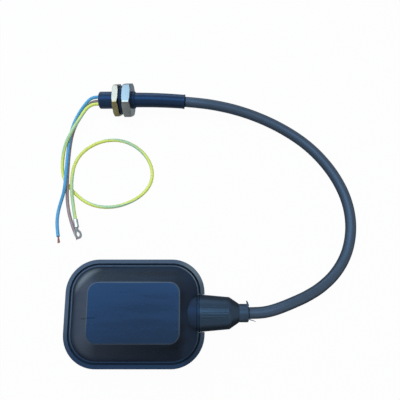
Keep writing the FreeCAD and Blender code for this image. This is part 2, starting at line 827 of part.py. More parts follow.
for y, z in (("-tab_spacing", "0"), ("tab_spacing", "0"), ("0", "-tab_drop")):
    rectangle(
        slots,
        f"{y} - tab_width / 2 - fit_gap",
        f"{y} + tab_width / 2 + fit_gap",
        f"{z} - tab_thickness / 2 - fit_gap",
        f"{z} + tab_thickness / 2 + fit_gap",
    )
pocket(housing, slots, "switch_wall + 2", "terminal_slots")
place_body(housing, FLOAT_X, "0", HALF)

cover = new_body("switch_cover")
plate = sketch_on(cover, "XY_Plane", LID_FACE)
rectangle(plate, X_SWITCH, X_BACK, "-switch_width / 2", "switch_width / 2")
for side in (-1, 1):
    circle(
        plate,
        f"{X_SWITCH} + pin_setback",
        f"({side}) * pin_spacing / 2",
        "pin_radius + fit_gap",
    )
pad(cover, plate, "switch_lid", "plate")
place_body(cover, FLOAT_X, "0", HALF)

plunger = new_body("switch_plunger")
stem = sketch_on(plunger, "YZ_Plane", f"{X_SWITCH} - plunger_front")
circle(stem, "-plunger_offset", "0", "plunger_radius")
pad(plunger, stem, "plunger_length", "stem")
tip = plunger.newObject("PartDesign::AdditiveSphere", "plunger_tip")
bind(tip, "Radius", "plunger_radius")
bind(tip, "Placement.Base.x", f"{X_SWITCH} - plunger_front")
bind(tip, "Placement.Base.y", "-plunger_offset")
place_body(plunger, FLOAT_X, "0", HALF)

# The lever is drawn along +Y from its hinge, then tilted to its rest place.
lever = new_body("switch_lever")
strip = sketch_on(lever, "XY_Plane", "-lever_height / 2")
rectangle(strip, "-lever_thickness / 2", "lever_thickness / 2", "0.2", "lever_length")
pad(lever, strip, "lever_height", "strip")
hub = sketch_on(lever, "XY_Plane", "-lever_height / 2")
circle(hub, "0", "0", "lever_hub")
pad(lever, hub, "lever_height", "hub")
hub_hole = sketch_on(lever, "XY_Plane", "lever_height / 2")
circle(hub_hole, "0", "0", "hinge_pin_radius + 0.05")
pocket(lever, hub_hole, "lever_height", "hub_hole")
lever.Placement = Placement(Vector(), Rotation(Vector(0, 0, 1), 1))
bind(lever, "Placement.Rotation.Angle", "lever_tilt")
place_body(lever, f"{FLOAT_X} + {X_HINGE}", "-lever_reach", HALF)

pin = doc.addObject("Part::Cylinder", "lever_pin")
pin.Label = "lever_pin"
bind(pin, "Radius", "hinge_pin_radius")
bind(pin, "Height", "lever_height + 2.8")
bind(pin, "Placement.Base.x", f"{FLOAT_X} + {X_HINGE}")
bind(pin, "Placement.Base.y", "-lever_reach")
bind(pin, "Placement.Base.z", f"{HALF} - lever_height / 2 - 1.4")


def terminal(label, y, inner, z="0"):
    """A flat terminal from a place inside the switch to its end behind it."""
    body = new_body(label)
    blade = sketch_on(body, "XY_Plane", f"{z} - tab_thickness / 2")
    rectangle(
        blade, inner, X_TABS, f"{y} - tab_width / 2", f"{y} + tab_width / 2"
    )
    pad(body, blade, "tab_thickness", "blade")
    place_body(body, FLOAT_X, "0", HALF)
    return body


terminal("terminal_common", "-tab_spacing", f"{X_BLADE} + blade_thickness")
terminal(
    "terminal_open", "tab_spacing", f"{X_BLADE} + blade_thickness + contact_gap"
)
closed = terminal("terminal_closed", "0", f"{X_BLADE} - tab_thickness", "-tab_drop")
riser = sketch_on(closed, "XY_Plane", "-tab_drop - tab_thickness / 2")
rectangle(
    riser,
    f"{X_BLADE} - tab_thickness",
    X_BLADE,
    "-tab_width / 2",
    "tab_width / 2",
)
pad(closed, riser, "tab_drop + 1", "riser")

blade = new_body("contact_blade")
strip = sketch_on(blade, "XY_Plane", "-blade_height / 2")
rectangle(
    strip,
    X_BLADE,
    f"{X_BLADE} + blade_thickness",
    "-tab_spacing - tab_width / 2",
    "tab_spacing + 1",
)
pad(blade, strip, "blade_height", "strip")
place_body(blade, FLOAT_X, "0", HALF)

# Cable inside the float, its clamp and the three leads


def straight(label, radius, start, end):
    """A round piece along X, from one place to another, on the gland's axis."""
    body = new_body(label)
    face = sketch_on(body, "YZ_Plane", start)
    circle(face, "0", "0", radius)
    pad(body, face, f"({end}) - ({start})", "length")
    place_body(body, FLOAT_X, "0", HALF)
    return body


straight("cable_inner", "cable_radius", "sheath_end", X_COLLAR)

clamp = new_body("cable_clamp")
X_CLAMP = "(case_length / 2 + 0.3)"
ears = sketch_on(clamp, "YZ_Plane", X_CLAMP)
rectangle(ears, "-clamp_half_width", "clamp_half_width", "fit_gap", "clamp_ear")
pad(clamp, ears, "clamp_length", "ears")
arch = sketch_on(clamp, "YZ_Plane", X_CLAMP)
shoulder = "(clamp_screw_y - clamp_screw_radius - 0.5)"
outline(
    arch,
    [
        (f"-{shoulder}", "fit_gap"),
        (shoulder, "fit_gap"),
        (shoulder, "clamp_rise - 1.6"),
        (f"{shoulder} - 1.6", "clamp_rise"),
        (f"1.6 - {shoulder}", "clamp_rise"),
        (f"-{shoulder}", "clamp_rise - 1.6"),
    ],
)
pad(clamp, arch, "clamp_length", "arch")
turn(
    clamp,
    [
        (f"{X_CLAMP} - 1", "0"),
        (f"{X_CLAMP} - 1", CABLE_WAY),
        (f"{X_CLAMP} + clamp_length + 1", CABLE_WAY),
        (f"{X_CLAMP} + clamp_length + 1", "0"),
    ],
    "cable_way",
    "Groove",
)
ear_holes = sketch_on(clamp, "XY_Plane", "clamp_ear")
for side in (-1, 1):
    circle(
        ear_holes,
        f"{X_CLAMP} + clamp_length / 2",
        f"({side}) * clamp_screw_y",
        "clamp_screw_radius + fit_gap",
    )
pocket(clamp, ear_holes, "clamp_ear + 1", "ear_holes")
place_body(clamp, FLOAT_X, "0", HALF)

clamp_screws = []
for side in (-1, 1):
    one = screw(
        size("clamp_screw_radius - fit_gap / 2"),
        size("clamp_ear") + 4.4,
        size("clamp_half_width - clamp_screw_y - 0.4"),
        1.3,
    )
    at = Vector(
        size(f"{X_CLAMP} + clamp_length / 2"),
        side * size("clamp_screw_y"),
        size("clamp_ear"),
    )
    one.translate(middle + at)
    clamp_screws.append(one)
shaped("clamp_screws", Part.makeCompound(clamp_screws))

# Cords: straight runs joined by arcs as large as the runs allow


def route_wire(points, limit=None):
    """Runs joined by tangent arcs. Returns the wire and the smallest radius."""
    edges = []
    radii = []
    begin = points[0]
    for before, corner, after in zip(points, points[1:], points[2:]):
        back = before - corner
        ahead = after - corner
        bend = math.pi - back.getAngle(ahead)
        share = 0.45 * min(back.Length, ahead.Length)
        radius = share / math.tan(bend / 2)
        radii.append(radius)
        enter = corner + back.normalize() * share
        leave = corner + ahead.normalize() * share
        axis = (back + ahead).normalize()
        centre = corner + axis * (radius / math.cos(bend / 2))
        edges.append(Part.LineSegment(begin, enter).toShape())
        top = centre - axis * radius
        edges.append(Part.Arc(enter, top, leave).toShape())
        begin = leave
    edges.append(Part.LineSegment(begin, points[-1]).toShape())
    return Part.Wire(edges), radii


def tube(label, points, radius):
    """A cord's plain solid along its route."""
    wire, radii = route_wire([Vector(p) for p in points])
    ring = Part.Circle(points[0], points[1] - points[0], radius)
    profile = Part.Wire(ring.toShape())
    solid = wire.makePipeShell([profile], True, True)
    ratio = solid.Volume / (math.pi * radius**2 * wire.Length)
    print(
        f"{label}: length {wire.Length:.1f}, smallest radius {min(radii):.1f}"
        f" ({min(radii) / radius / 2:.1f} diameters), volume ratio {ratio:.4f}"
    )
    print("  radii", [round(r, 1) for r in radii])
    return shaped(label, solid)


def at_float(x, y, z):
    """A point given from the float's middle, in the part's own frame."""
    return middle + Vector(x, y, z)


pitch = size("core_pitch")
exit_x = size("sheath_end")
tab_x = size(X_TABS)
tab_y = size("tab_spacing")
for name, side in (("lead_brown_inner", -1), ("lead_blue_inner", 1)):
    cos30 = math.cos(math.radians(30))
    level = -pitch / 2
    run = (exit_x - tab_x) / 3
    tube(
        name,
        [
            at_float(exit_x, side * pitch * cos30, level),
            at_float(exit_x - run, side * pitch * cos30, level),
            at_float(tab_x + run, side * tab_y, level),
            at_float(tab_x, side * tab_y, level),
        ],
        size("core_radius"),
    )
cap_x = size(f"{X_BACK} + cap_length") + 1.0
cap_z = pitch + 4.0
run = (exit_x - cap_x) / 3
tube(
    "lead_earth_inner",
    [
        at_float(exit_x, 0, pitch),
        at_float(exit_x - run, 0, pitch),
        at_float(cap_x + run, 0, cap_z),
        at_float(cap_x, 0, cap_z),
    ],
    size("core_radius"),
)
end_cap = doc.addObject("Part::Cylinder", "earth_end_cap")
end_cap.Label = "earth_end_cap"
bind(end_cap, "Radius", "cap_radius")
bind(end_cap, "Height", "cap_length")
end_cap.Placement = Placement(
    at_float(cap_x, 0, cap_z), Rotation(Vector(0, 1, 0), -90)
)

# Tank fitting, modelled along its own X axis from the bush's end. The lock nut
# is the narrower hexagon, so the fitting tips until both rest on the floor.
X_HEAD = "(locknut_start + locknut_thickness + ring_thickness)"
tip_run = size("locknut_thickness + ring_thickness")
fitting_tilt = math.atan2(size("(head_flats - locknut_flats) / 2"), tip_run)
fitting_rise = size("locknut_flats") / 2 * math.cos(fitting_tilt)
fitting_rise += 0.005 - size("locknut_start") * math.sin(fitting_tilt)
fitting = Placement(
    Vector(size("fitting_x"), size("fitting_y"), fitting_rise),
    Rotation(size("fitting_turn"), -math.degrees(fitting_tilt), 0),
)


def hexagon(sketch, flats):
    """A hexagon with a flat face below, as it rests."""
    tall = f"({flats}) / 2"
    wide = f"({flats}) / 3 ^ 0.5"
    outline(
        sketch,
        [
            (f"{wide}", "0"),
            (f"{wide} / 2", tall),
            (f"-{wide} / 2", tall),
            (f"-{wide}", "0"),
            (f"-{wide} / 2", f"-{tall}"),
            (f"{wide} / 2", f"-{tall}"),
        ],
    )


def chamfer_hexagon(body, flats, start, thickness):
    """Cuts the corners of a hexagon back at both ends, as a turned nut has them."""
    corner = f"(({flats}) / 3 ^ 0.5)"
    inner = f"({corner} - 2 * hex_chamfer)"
    for end, sign in ((start, 1), (f"({start} + {thickness})", -1)):
        turn(
            body,
            [
                (f"{end} - ({sign}) * 0.2", inner),
                (f"{end} + ({sign}) * hex_chamfer", f"{corner} + 0.2"),
                (f"{end} - ({sign}) * 0.2", f"{corner} + 0.2"),
            ],
            "chamfer",
            "Groove",
        )


bush = new_body("cable_bush")
turn(
    bush,
    [
        ("0", "0"),
        ("0", "bush_radius - 0.8"),
        ("0.8", "bush_radius"),
        ("bush_length - 0.4", "bush_radius"),
        ("bush_length", "bush_radius - 0.4"),
        ("bush_length", "sleeve_root + fit_gap"),
        ("bush_length - bush_socket", "sleeve_root + fit_gap"),
        ("bush_length - bush_socket", CABLE_WAY),
        ("bush_end", CABLE_WAY),
        ("bush_end", "0"),
    ],
    "bush",
)
bush.Placement = fitting

lock_nut = new_body("lock_nut")
hex_face = sketch_on(lock_nut, "YZ_Plane", "locknut_start")
hexagon(hex_face, "locknut_flats")
circle(hex_face, "0", "0", "thread_radius + thread_gap")
pad(lock_nut, hex_face, "locknut_thickness", "hexagon")
chamfer_hexagon(lock_nut, "locknut_flats", "locknut_start", "locknut_thickness")
lock_nut.Placement = fitting

sealing_ring = new_body("sealing_ring")
X_RING = "(locknut_start + locknut_thickness)"
turn(
    sealing_ring,
    [
        (X_RING, "thread_radius + fit_gap"),
        (f"{X_RING} + ring_thickness", "thread_radius + fit_gap"),
        (f"{X_RING} + ring_thickness", "ring_radius - 0.5"),
        (f"{X_RING} + ring_thickness - 0.5", "ring_radius"),
        (f"{X_RING} + 0.5", "ring_radius"),
        (X_RING, "ring_radius - 0.5"),
    ],
    "ring",
)
sealing_ring.Placement = fitting

hollow_screw = new_body("hollow_screw")
head_face = sketch_on(hollow_screw, "YZ_Plane", X_HEAD)
hexagon(head_face, "head_flats")
circle(head_face, "0", "0", "bush_radius + fit_gap")
pad(hollow_screw, head_face, "head_thickness", "head")
chamfer_hexagon(hollow_screw, "head_flats", X_HEAD, "head_thickness")
turn(
    hollow_screw,
    [
        ("locknut_start + 0.5", "bush_radius + fit_gap"),
        ("locknut_start + 0.5", "thread_radius - 0.7"),
        ("locknut_start + 1.2", "thread_radius"),
        (X_HEAD, "thread_radius"),
        (f"{X_HEAD} + 0.01", "bush_radius + fit_gap"),
    ],
    "thread",
)
hollow_screw.Placement = fitting

# The sleeve leaves the bush along its axis and bows down and towards the float.
sleeve_start = size("bush_length - bush_socket") + 0.1
sleeve_free = size("sleeve_length") - size("bush_socket")
bend_angle = sleeve_free / size("sleeve_bend")
side_turn = math.atan2(fitting_tilt, math.radians(4.2))
bow = Vector(0, -math.cos(side_turn), -math.sin(side_turn))


def along_sleeve(length):
    """A point and direction on the sleeve's axis, from the end of the bush."""
    radius = size("sleeve_bend")
    angle = length / radius
    point = Vector(size("bush_length") + radius * math.sin(angle), 0, 0)
    point += bow * (radius * (1 - math.cos(angle)))
    heading = Vector(math.cos(angle), 0, 0) + bow * math.sin(angle)
    return point, heading


def sleeve_axis(start, end):
    """The sleeve's axis: straight inside the bush and an arc outside it."""
    socket = Vector(size("bush_length"), 0, 0)
    half, _ = along_sleeve(end / 2)
    stop, _ = along_sleeve(end)
    return Part.Wire(
        [
            Part.LineSegment(Vector(start, 0, 0), socket).toShape(),
            Part.Arc(socket, half, stop).toShape(),
        ]
    )


def ring_at(point, heading, radius):
    return Part.Wire(Part.Circle(point, heading, radius).toShape())


flare_from = sleeve_free - size("flare_length")
near_tip, near_heading = along_sleeve(flare_from)
mouth, mouth_heading = along_sleeve(sleeve_free)
along_x = Vector(1, 0, 0)
root_point = Vector(sleeve_start, 0, 0)
skin = sleeve_axis(sleeve_start, flare_from).makePipeShell(
    [
        ring_at(root_point, along_x, size("sleeve_root")),
        ring_at(near_tip, near_heading, size("sleeve_tip")),
    ],
    True,
    True,
)
flare = Part.makeLoft(
    [
        ring_at(near_tip, near_heading, size("sleeve_tip")),
        ring_at(mouth, mouth_heading, size("sleeve_flare")),
    ],
    True,
)
way = sleeve_axis(sleeve_start - 1, sleeve_free).makePipeShell(
    [ring_at(root_point - along_x, along_x, size(CABLE_WAY))], True, True
)
sleeve = skin.fuse(flare).cut(way)
shaped("heat_shrink_sleeve", sleeve).Placement = fitting

core = sleeve_axis(size("bush_end"), sleeve_free).makePipeShell(
    [ring_at(Vector(size("bush_end"), 0, 0), along_x, size("cable_radius"))],
    True,
    True,
)
shaped("cable_sleeved", core).Placement = fitting

# Cable from the gland to the sleeve: out level, down to the floor, round and up
cable_end = fitting.multVec(mouth)
cable_heading = fitting.Rotation.multVec(mouth_heading)
cable_start = at_float(size(X_COLLAR), 0, 0)
CABLE_FIRST_RUN = 8.0
CABLE_LAST_RUN = 12.0
CABLE_POINTS = [
    (85.8, 1.4, 20.75),
    (94.8, 4.3, 19.9),
    (104.2, 8.0, 18.2),
    (114.2, 12.2, 15.6),
    (127.0, 19.2, 11.4),
    (140.8, 30.8, 7.4),
    (151.6, 47.2, 5.0),
    (156.6, 66.8, 4.36),
    (155.7, 86.6, 4.36),
    (149.5, 105.6, 4.36),
    (138.6, 123.8, 4.36),
    (123.8, 140.2, 4.36),
    (105.2, 153.6, 4.7),
    (84.8, 163.4, 6.8),
    (64.4, 169.4, 10.2),
    (46.4, 172.4, 13.2),
]
cable_route = (
    [cable_start, cable_start + Vector(CABLE_FIRST_RUN, 0, 0)]
    + [Vector(p) for p in CABLE_POINTS]
    + [cable_end + cable_heading * CABLE_LAST_RUN, cable_end]
)
tube("cable", cable_route, size("cable_radius"))
print("cable route", [tuple(round(c, 2) for c in p) for p in cable_route])

# Cores from the bush's end to their own ends on the floor
core_heading = fitting.Rotation.multVec(Vector(-1, 0, 0))


def core_route(side, rise, run, points):
    """A core's route: straight out of the bush's end, then through its points."""
    start = fitting.multVec(Vector(0, side, rise))
    return [start, start + core_heading * run] + [Vector(p) for p in points]


CORE_FIRST_RUN = 4.8
BLUE_POINTS = [
    (-62.3, 178.3, 12.0),
    (-66.4, 174.0, 10.4),
    (-70.6, 168.6, 8.5),
    (-74.3, 162.3, 6.8),
    (-77.0, 155.4, 5.4),
    (-78.7, 147.2, 4.6),
    (-79.6, 137.6, 4.36),
    (-79.9, 128.0, 4.5),
    (-79.7, 119.4, 5.8),
    (-79.4, 111.4, 7.4),
    (-79.5, 103.4, 7.4),
    (-80.8, 96.8, 5.2),
    (-83.4, 90.0, 2.6),
    (-85.4, 82.4, 1.42),
    (-85.8, 74.8, 1.42),
    (-85.1, 67.7, 1.42),
    (-83.9, 61.3, 1.42),
]
BROWN_POINTS = [
    (-62.5, 176.3, 8.2),
    (-66.7, 171.9, 5.6),
    (-71.0, 166.4, 3.4),
    (-74.8, 160.2, 2.0),
    (-77.3, 153.2, 1.42),
    (-78.6, 145.2, 1.42),
    (-79.3, 136.4, 1.42),
    (-79.5, 127.8, 1.5),
    (-79.2, 119.6, 2.7),
    (-78.6, 111.8, 4.62),
    (-78.3, 103.2, 4.62),
    (-78.5, 96.2, 2.6),
    (-77.9, 88.6, 1.42),
    (-76.3, 81.2, 1.42),
    (-74.0, 74.0, 1.42),
    (-71.9, 68.4, 1.42),
    (-69.9, 63.8, 1.42),
]
EARTH_POINTS = [
    (-62.5, 171.9, 12.1),
    (-66.1, 168.0, 11.2),
    (-69.8, 162.0, 10.1),
    (-73.5, 156.2, 9.0),
    (-77.0, 150.2, 8.1),
    (-80.2, 143.6, 7.5),
    (-82.8, 136.2, 5.4),
    (-84.3, 128.4, 2.6),
    (-84.5, 119.8, 1.42),
    (-82.6, 111.0, 1.42),
    (-77.6, 103.6, 1.42),
    (-70.9, 96.4, 1.42),
    (-62.0, 89.6, 1.42),
    (-50.6, 86.0, 1.42),
    (-37.8, 86.2, 1.42),
    (-25.2, 90.4, 1.42),
    (-14.6, 97.6, 1.42),
    (-8.2, 107.4, 1.42),
    (-7.6, 119.0, 1.42),
    (-13.2, 131.2, 1.42),
    (-23.6, 140.6, 1.42),
    (-36.4, 145.6, 1.42),
    (-50.0, 145.0, 1.42),
    (-61.8, 139.8, 1.42),
    (-70.4, 131.8, 1.42),
    (-74.6, 122.4, 1.5),
    (-75.2, 113.6, 2.8),
    (-74.9, 105.8, 4.45),
    (-74.3, 98.2, 4.45),
    (-73.2, 90.6, 3.6),
    (-71.7, 82.6, 3.6),
    (-70.0, 75.2, 3.75),
]
core_ends = {}
for name, side, rise, run, points in (
    ("core_blue", 2.6, 0.9, CORE_FIRST_RUN, BLUE_POINTS),
    ("core_brown", 0.2, -2.4, CORE_FIRST_RUN, BROWN_POINTS),
    ("core_earth", -3.8, 0.7, CORE_FIRST_RUN, EARTH_POINTS),
):
    route = core_route(side, rise, run, points)
    tube(name, route, size("core_radius"))
    print(name, [tuple(round(c, 2) for c in p) for p in route[:2]])
    core_ends[name] = (route[-1], (route[-1] - route[-2]).normalize())

# Bare copper ends: a bundle of strands that narrows to its cut
STRAND_LENGTH = 5.6
for name, source in (("strands_blue", "core_blue"), ("strands_brown", "core_brown")):
    point, heading = core_ends[source]
    narrow = size("strand_radius")
    bundle = Part.makeCone(narrow, narrow * 0.8, STRAND_LENGTH, point, heading)
    shaped(name, bundle)

# Ring terminal, drawn along +X from the core's end, then rolled about it
terminal_body = new_body("ring_terminal")
barrel = sketch_on(terminal_body, "YZ_Plane")
circle(barrel, "0", "0", "barrel_radius")
pad(terminal_body, barrel, "barrel_length", "barrel")
tongue = sketch_on(terminal_body, "XY_Plane", "-terminal_sheet / 2")
rectangle(
    tongue,
    "barrel_length - 1",
    "terminal_reach - terminal_hole - 0.6",
    "-terminal_tongue / 2",
    "terminal_tongue / 2",
)
pad(terminal_body, tongue, "terminal_sheet", "tongue")
eye = sketch_on(terminal_body, "XY_Plane", "-terminal_sheet / 2")
circle(eye, "terminal_reach", "0", "terminal_ring")
circle(eye, "terminal_reach", "0", "terminal_hole")
pad(terminal_body, eye, "terminal_sheet", "eye")
point, heading = core_ends["core_earth"]
facing = Rotation(Vector(1, 0, 0), Vector(heading.x, heading.y, heading.z))
roll = Rotation(Vector(1, 0, 0), -size("terminal_roll"))
terminal_body.Placement = Placement(point, facing * roll)

# The places where something else is fastened
hole = terminal_body.Placement.multVec(Vector(size("terminal_reach"), 0, 0))
hole_axis = terminal_body.Placement.Rotation.multVec(Vector(0, 0, 1))
seat = fitting.multVec(Vector(size(X_HEAD), 0, 0))
seat_axis = fitting.Rotation.multVec(Vector(-1, 0, 0))
for name, place, axis in (
    ("terminal hole", hole, hole_axis),
    ("fitting seat", seat, seat_axis),
):
    print(name, [round(c, 4) for c in place], [round(c, 6) for c in axis])

# Check every object, then write each node's file
doc.recompute()
NODES = [
    o
    for o in doc.Objects
    if o.TypeId in ("PartDesign::Body", "Part::Feature", "Part::Cut")
    or o.Name in ("steel_ball", "lever_pin", "earth_end_cap")
]
NODES = [o for o in NODES if o.Label != "gland_nut_blank"]
for thing in doc.Objects:
    if "Invalid" in thing.State or "Error" in thing.State:
        raise RuntimeError(f"{thing.Label} failed: {thing.State}")
for node in NODES:
    if node.Shape.isNull() or not node.Shape.isValid():
        raise RuntimeError(f"{node.Label} has no valid shape")
for node in NODES:
    node.Shape.exportStep(f"parts/{node.Label}.step")
    box = node.Shape.BoundBox
    print(
        f"{node.Label}: {len(node.Shape.Solids)} solids, {node.Shape.Volume:.0f} mm3,"
        f" x {box.XMin:.1f}..{box.XMax:.1f} y {box.YMin:.1f}..{box.YMax:.1f}"
        f" z {box.ZMin:.2f}..{box.ZMax:.2f}"
    )
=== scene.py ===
import math

import bmesh
import bpy
from mathutils import Matrix, Vector


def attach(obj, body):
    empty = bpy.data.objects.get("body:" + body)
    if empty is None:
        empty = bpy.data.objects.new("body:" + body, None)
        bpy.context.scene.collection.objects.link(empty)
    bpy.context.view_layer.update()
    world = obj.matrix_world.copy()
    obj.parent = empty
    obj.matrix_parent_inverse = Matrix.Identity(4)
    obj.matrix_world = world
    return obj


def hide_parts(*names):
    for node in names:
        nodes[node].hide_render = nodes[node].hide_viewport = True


# A tilt float switch that lies on its flat face: a blue-black moulded float with a
# gland, a matt rubber cable in a wide loop, a brass and nickel tank fitting, and
# three cores, one of them yellow and green with a ring terminal. Metres throughout.

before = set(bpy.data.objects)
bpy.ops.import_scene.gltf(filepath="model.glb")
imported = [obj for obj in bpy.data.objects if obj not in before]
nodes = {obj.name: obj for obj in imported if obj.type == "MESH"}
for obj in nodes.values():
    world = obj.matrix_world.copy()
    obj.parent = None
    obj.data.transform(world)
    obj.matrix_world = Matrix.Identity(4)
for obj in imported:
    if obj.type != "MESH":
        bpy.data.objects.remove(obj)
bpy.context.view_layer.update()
scene = bpy.context.scene

# Sizes that the solids set: heights from the floor, rises from the seam, and places
# along the gland's axis

SEAM_HEIGHT = 0.021
LIP_RISE = 0.0022
GROOVE_RISE = 0.0011
FLAT_FACE_RISE = 0.0196
NOTCH_START = 0.02
NOTCH_HALF_WIDTH = 0.0178
RIDGE_PLACE = 0.0312
NECK_RADIUS = 0.0131
NUT_START = 0.0326
CABLE_RADIUS = 0.00435
CORE_RADIUS = 0.0014

# Camera

camera = bpy.data.objects.new("camera", bpy.data.cameras.new("camera"))
scene.collection.objects.link(camera)
camera.location = (0.0326, -0.0036, 0.3948)
camera.rotation_euler = (math.radians(13.7), 0, 0)
camera.data.sensor_width = 36
camera.data.lens = 43.56
camera.data.clip_start = 0.01
scene.camera = camera
scene.view_settings.view_transform = "Standard"


# Nodes


def feed(tree, socket, value):
    """Links a socket to another, or sets it to a number, a colour or a vector."""
    if isinstance(value, Value):
        value = value.socket
    if isinstance(value, bpy.types.NodeSocket):
        tree.links.new(value, socket)
    else:
        socket.default_value = value


def add_node(tree, kind, settings=None, inputs=None, output=0):
    """Adds a node: its settings first, then what its sockets hold."""
    made = tree.nodes.new(kind)
    for key, value in (settings or {}).items():
        setattr(made, key, value)
    for key, value in (inputs or {}).items():
        feed(tree, made.inputs[key], value)
    return Value(tree, made.outputs[output])


class Value:
    """A socket that takes part in sums, so that a node tree reads as arithmetic."""

    def __init__(self, tree, socket):
        self.tree = tree
        self.socket = socket

    def math(self, operation, *others):
        inputs = dict(enumerate((self, *others)))
        return add_node(self.tree, "ShaderNodeMath", {"operation": operation}, inputs)

    def __add__(self, other):
        return self.math("ADD", other)

    def __sub__(self, other):
        return self.math("SUBTRACT", other)

    def __rsub__(self, other):
        return self * -1 + other

    def __mul__(self, other):
        return self.math("MULTIPLY", other)

    def __abs__(self):
        return self.math("ABSOLUTE")

    __radd__ = __add__
    __rmul__ = __mul__

    def sine(self):
        return self.math("SINE")

    def root(self):
        return self.math("SQRT")

    def axis(self, name):
        """One part of a vector, by the name of its axis."""
        return add_node(self.tree, "ShaderNodeSeparateXYZ", None, {0: self}, name)

    def span(self, low, high, bottom=0.0, top=1.0):
        """Maps low..high smoothly to bottom..top."""
        inputs = {0: self, 1: low, 2: high, 3: bottom, 4: top}
        smooth = {"interpolation_type": "SMOOTHSTEP"}
        return add_node(self.tree, "ShaderNodeMapRange", smooth, inputs)

    def below(self, limit, blur):
        """1 under the limit and 0 over it, with a soft edge."""
        return self.span(limit + blur, limit - blur)


class Finish:
    """A material in the making: its nodes, with a Principled shader at their end."""

    def __init__(self, name, **settings):
        self.material = bpy.data.materials.new(name)
        self.material.use_nodes = True
        self.tree = self.material.node_tree
        self.tree.nodes.clear()
        self.shader = self.tree.nodes.new("ShaderNodeBsdfPrincipled")
        self.output = self.tree.nodes.new("ShaderNodeOutputMaterial")
        self.tree.links.new(self.shader.outputs[0], self.output.inputs["Surface"])
        for key, value in settings.items():
            self.set(key.replace("_", " ").title().replace("Ior", "IOR"), value)

    def set(self, socket, value):
        """Sets one of the shader's sockets to a value or a link."""
        feed(self.tree, self.shader.inputs[socket], value)

    def node(self, kind, settings=None, inputs=None, output=0):
        return add_node(self.tree, kind, settings, inputs, output)

    def place(self, centre=(0, 0, 0), turn=(0, 0, 0)):
        """Object coordinates about a centre, turned if need be."""
        here = self.node("ShaderNodeTexCoord", output="Object")
        inputs = {"Vector": here, "Location": centre, "Rotation": turn}
        return self.node("ShaderNodeMapping", {"vector_type": "TEXTURE"}, inputs)

    def distance(self, centre):
        """The distance from a point in metres."""
        inputs = {0: self.place(centre)}
        length = {"operation": "LENGTH"}
        return self.node("ShaderNodeVectorMath", length, inputs, "Value")

    def attribute(self, name):
        settings = {"attribute_name": name}
        return self.node("ShaderNodeAttribute", settings, output="Fac")

    def uv(self):
        return self.node("ShaderNodeUVMap", {"uv_map": "UVMap"})

    def noise(self, scale, vector=None, detail=3.0, stretch=None):
        """Soft noise. The scale is in bumps per metre."""
        vector = vector or self.place()
        if stretch:
            times = {"operation": "MULTIPLY"}
            vector = self.node("ShaderNodeVectorMath", times, {0: vector, 1: stretch})
        inputs = {"Vector": vector, "Scale": scale, "Detail": detail}
        return self.node("ShaderNodeTexNoise", None, inputs)

    def mix(self, share, first, second):
        """A colour between two, by a share from 0 to 1."""
        inputs = {0: share, 6: first, 7: second}
        return self.node("ShaderNodeMix", {"data_type": "RGBA"}, inputs, output=2)

    def bump(self, height, depth, strength=1.0):
        """Relief of a given depth in metres for a height from 0 to 1."""
        inputs = {"Height": height, "Distance": depth, "Strength": strength}
        self.set("Normal", self.node("ShaderNodeBump", None, inputs))


# Finishes


def srgb(red, green, blue):
    """A colour given in 0 to 255, as the linear colour that a socket takes."""

    def linear(level):
        level /= 255
        if level <= 0.04045:
            return level / 12.92
        return ((level + 0.055) / 1.055) ** 2.4

    return (linear(red), linear(green), linear(blue), 1)


# The dark plastics and rubbers have a bluish sheen
SKY_TINT = (0.11, 0.39, 1, 1)
PALE_TINT = (0.27, 0.56, 1, 1)
CABLE_TINT = (0.36, 0.61, 1, 1)


def shell_plastic():
    """Blue-black moulded plastic with flow streaks and a scratch, painted highlights
    and painted shade.
    """
    made = Finish("shell_plastic", specular_ior_level=0.5, specular_tint=SKY_TINT)
    flow = made.noise(38, detail=4, stretch=(1, 1.7, 1))
    fine = made.noise(700, detail=2)
    streak = made.noise(62, detail=5, stretch=(0.16, 1.5, 1)).span(0.34, 0.68)
    tone = made.mix(streak * 0.7 + flow * 0.3, srgb(31, 34, 39), srgb(36, 45, 58))
    spot = made.place()
    along, aside, high = spot.axis("X"), spot.axis("Y"), spot.axis("Z")
    # A short dark scratch on the flat face
    mark = made.place((-0.0474, -0.004, 0.032), (0, 0, 0.05))
    scratch = abs(mark.axis("X")).below(0.0058, 0.0008)
    scratch = scratch * abs(mark.axis("Y")).below(0.00035, 0.00025)
    scratch = scratch * high.span(0.0225, 0.024)
    tone = made.mix(scratch, tone, srgb(17, 19, 24))
    # Painted highlight: the rim's lip and the rounded edges are paler, most towards
    # the back and at one corner; painted shade darkens the groove, which is also dull
    edge_highlight, groove_shade = made.attribute("edge_highlight"), made.attribute("groove_shade")
    corner = made.distance((0.027, 0.031, 0.0232)).below(0.009, 0.005)
    lip_highlight = edge_highlight * (aside.span(-0.036, 0.0) + 1.1 * corner)
    tone = made.mix(lip_highlight, tone, srgb(110, 118, 122))
    tone = made.mix(groove_shade, tone, srgb(24, 28, 32))
    # Painted shade darkens the neck's two grooves, and a painted highlight makes its
    # thin ridge pale between them
    over = high - SEAM_HEIGHT
    neck = (aside * aside + over * over).root().below(NECK_RADIUS, 0.0002)
    from_ridge = abs(along - RIDGE_PLACE)
    tone = made.mix(neck * from_ridge.below(0.0012, 0.0001), tone, srgb(16, 20, 24))
    ridge_highlight = neck * from_ridge.below(0.00038, 0.00008)
    tone = made.mix(ridge_highlight, tone, srgb(50, 66, 88))
    # A painted highlight on one corner of the sloped sides
    slope_highlight = abs(made.place((-0.0515, 0.0285, 0), (0, 0, -0.8)).axis("X"))
    slope_highlight = slope_highlight.below(0.003, 0.003) * high.span(0.024, 0.03)
    slope_highlight = slope_highlight * high.span(0.0415, 0.038)
    made.set("Base Color", made.mix(slope_highlight, tone, srgb(108, 112, 114)))
    dull = 0.4 * edge_highlight + 0.5 * groove_shade + 0.3 * scratch + along.span(0.016, 0.024, 0, 0.28)
    made.set("Roughness", 0.2 + 0.1 * fine + 0.12 * streak + dull)
    made.bump(flow * 0.7 + fine * 0.3 - scratch, 0.00012, 0.5)
    return made


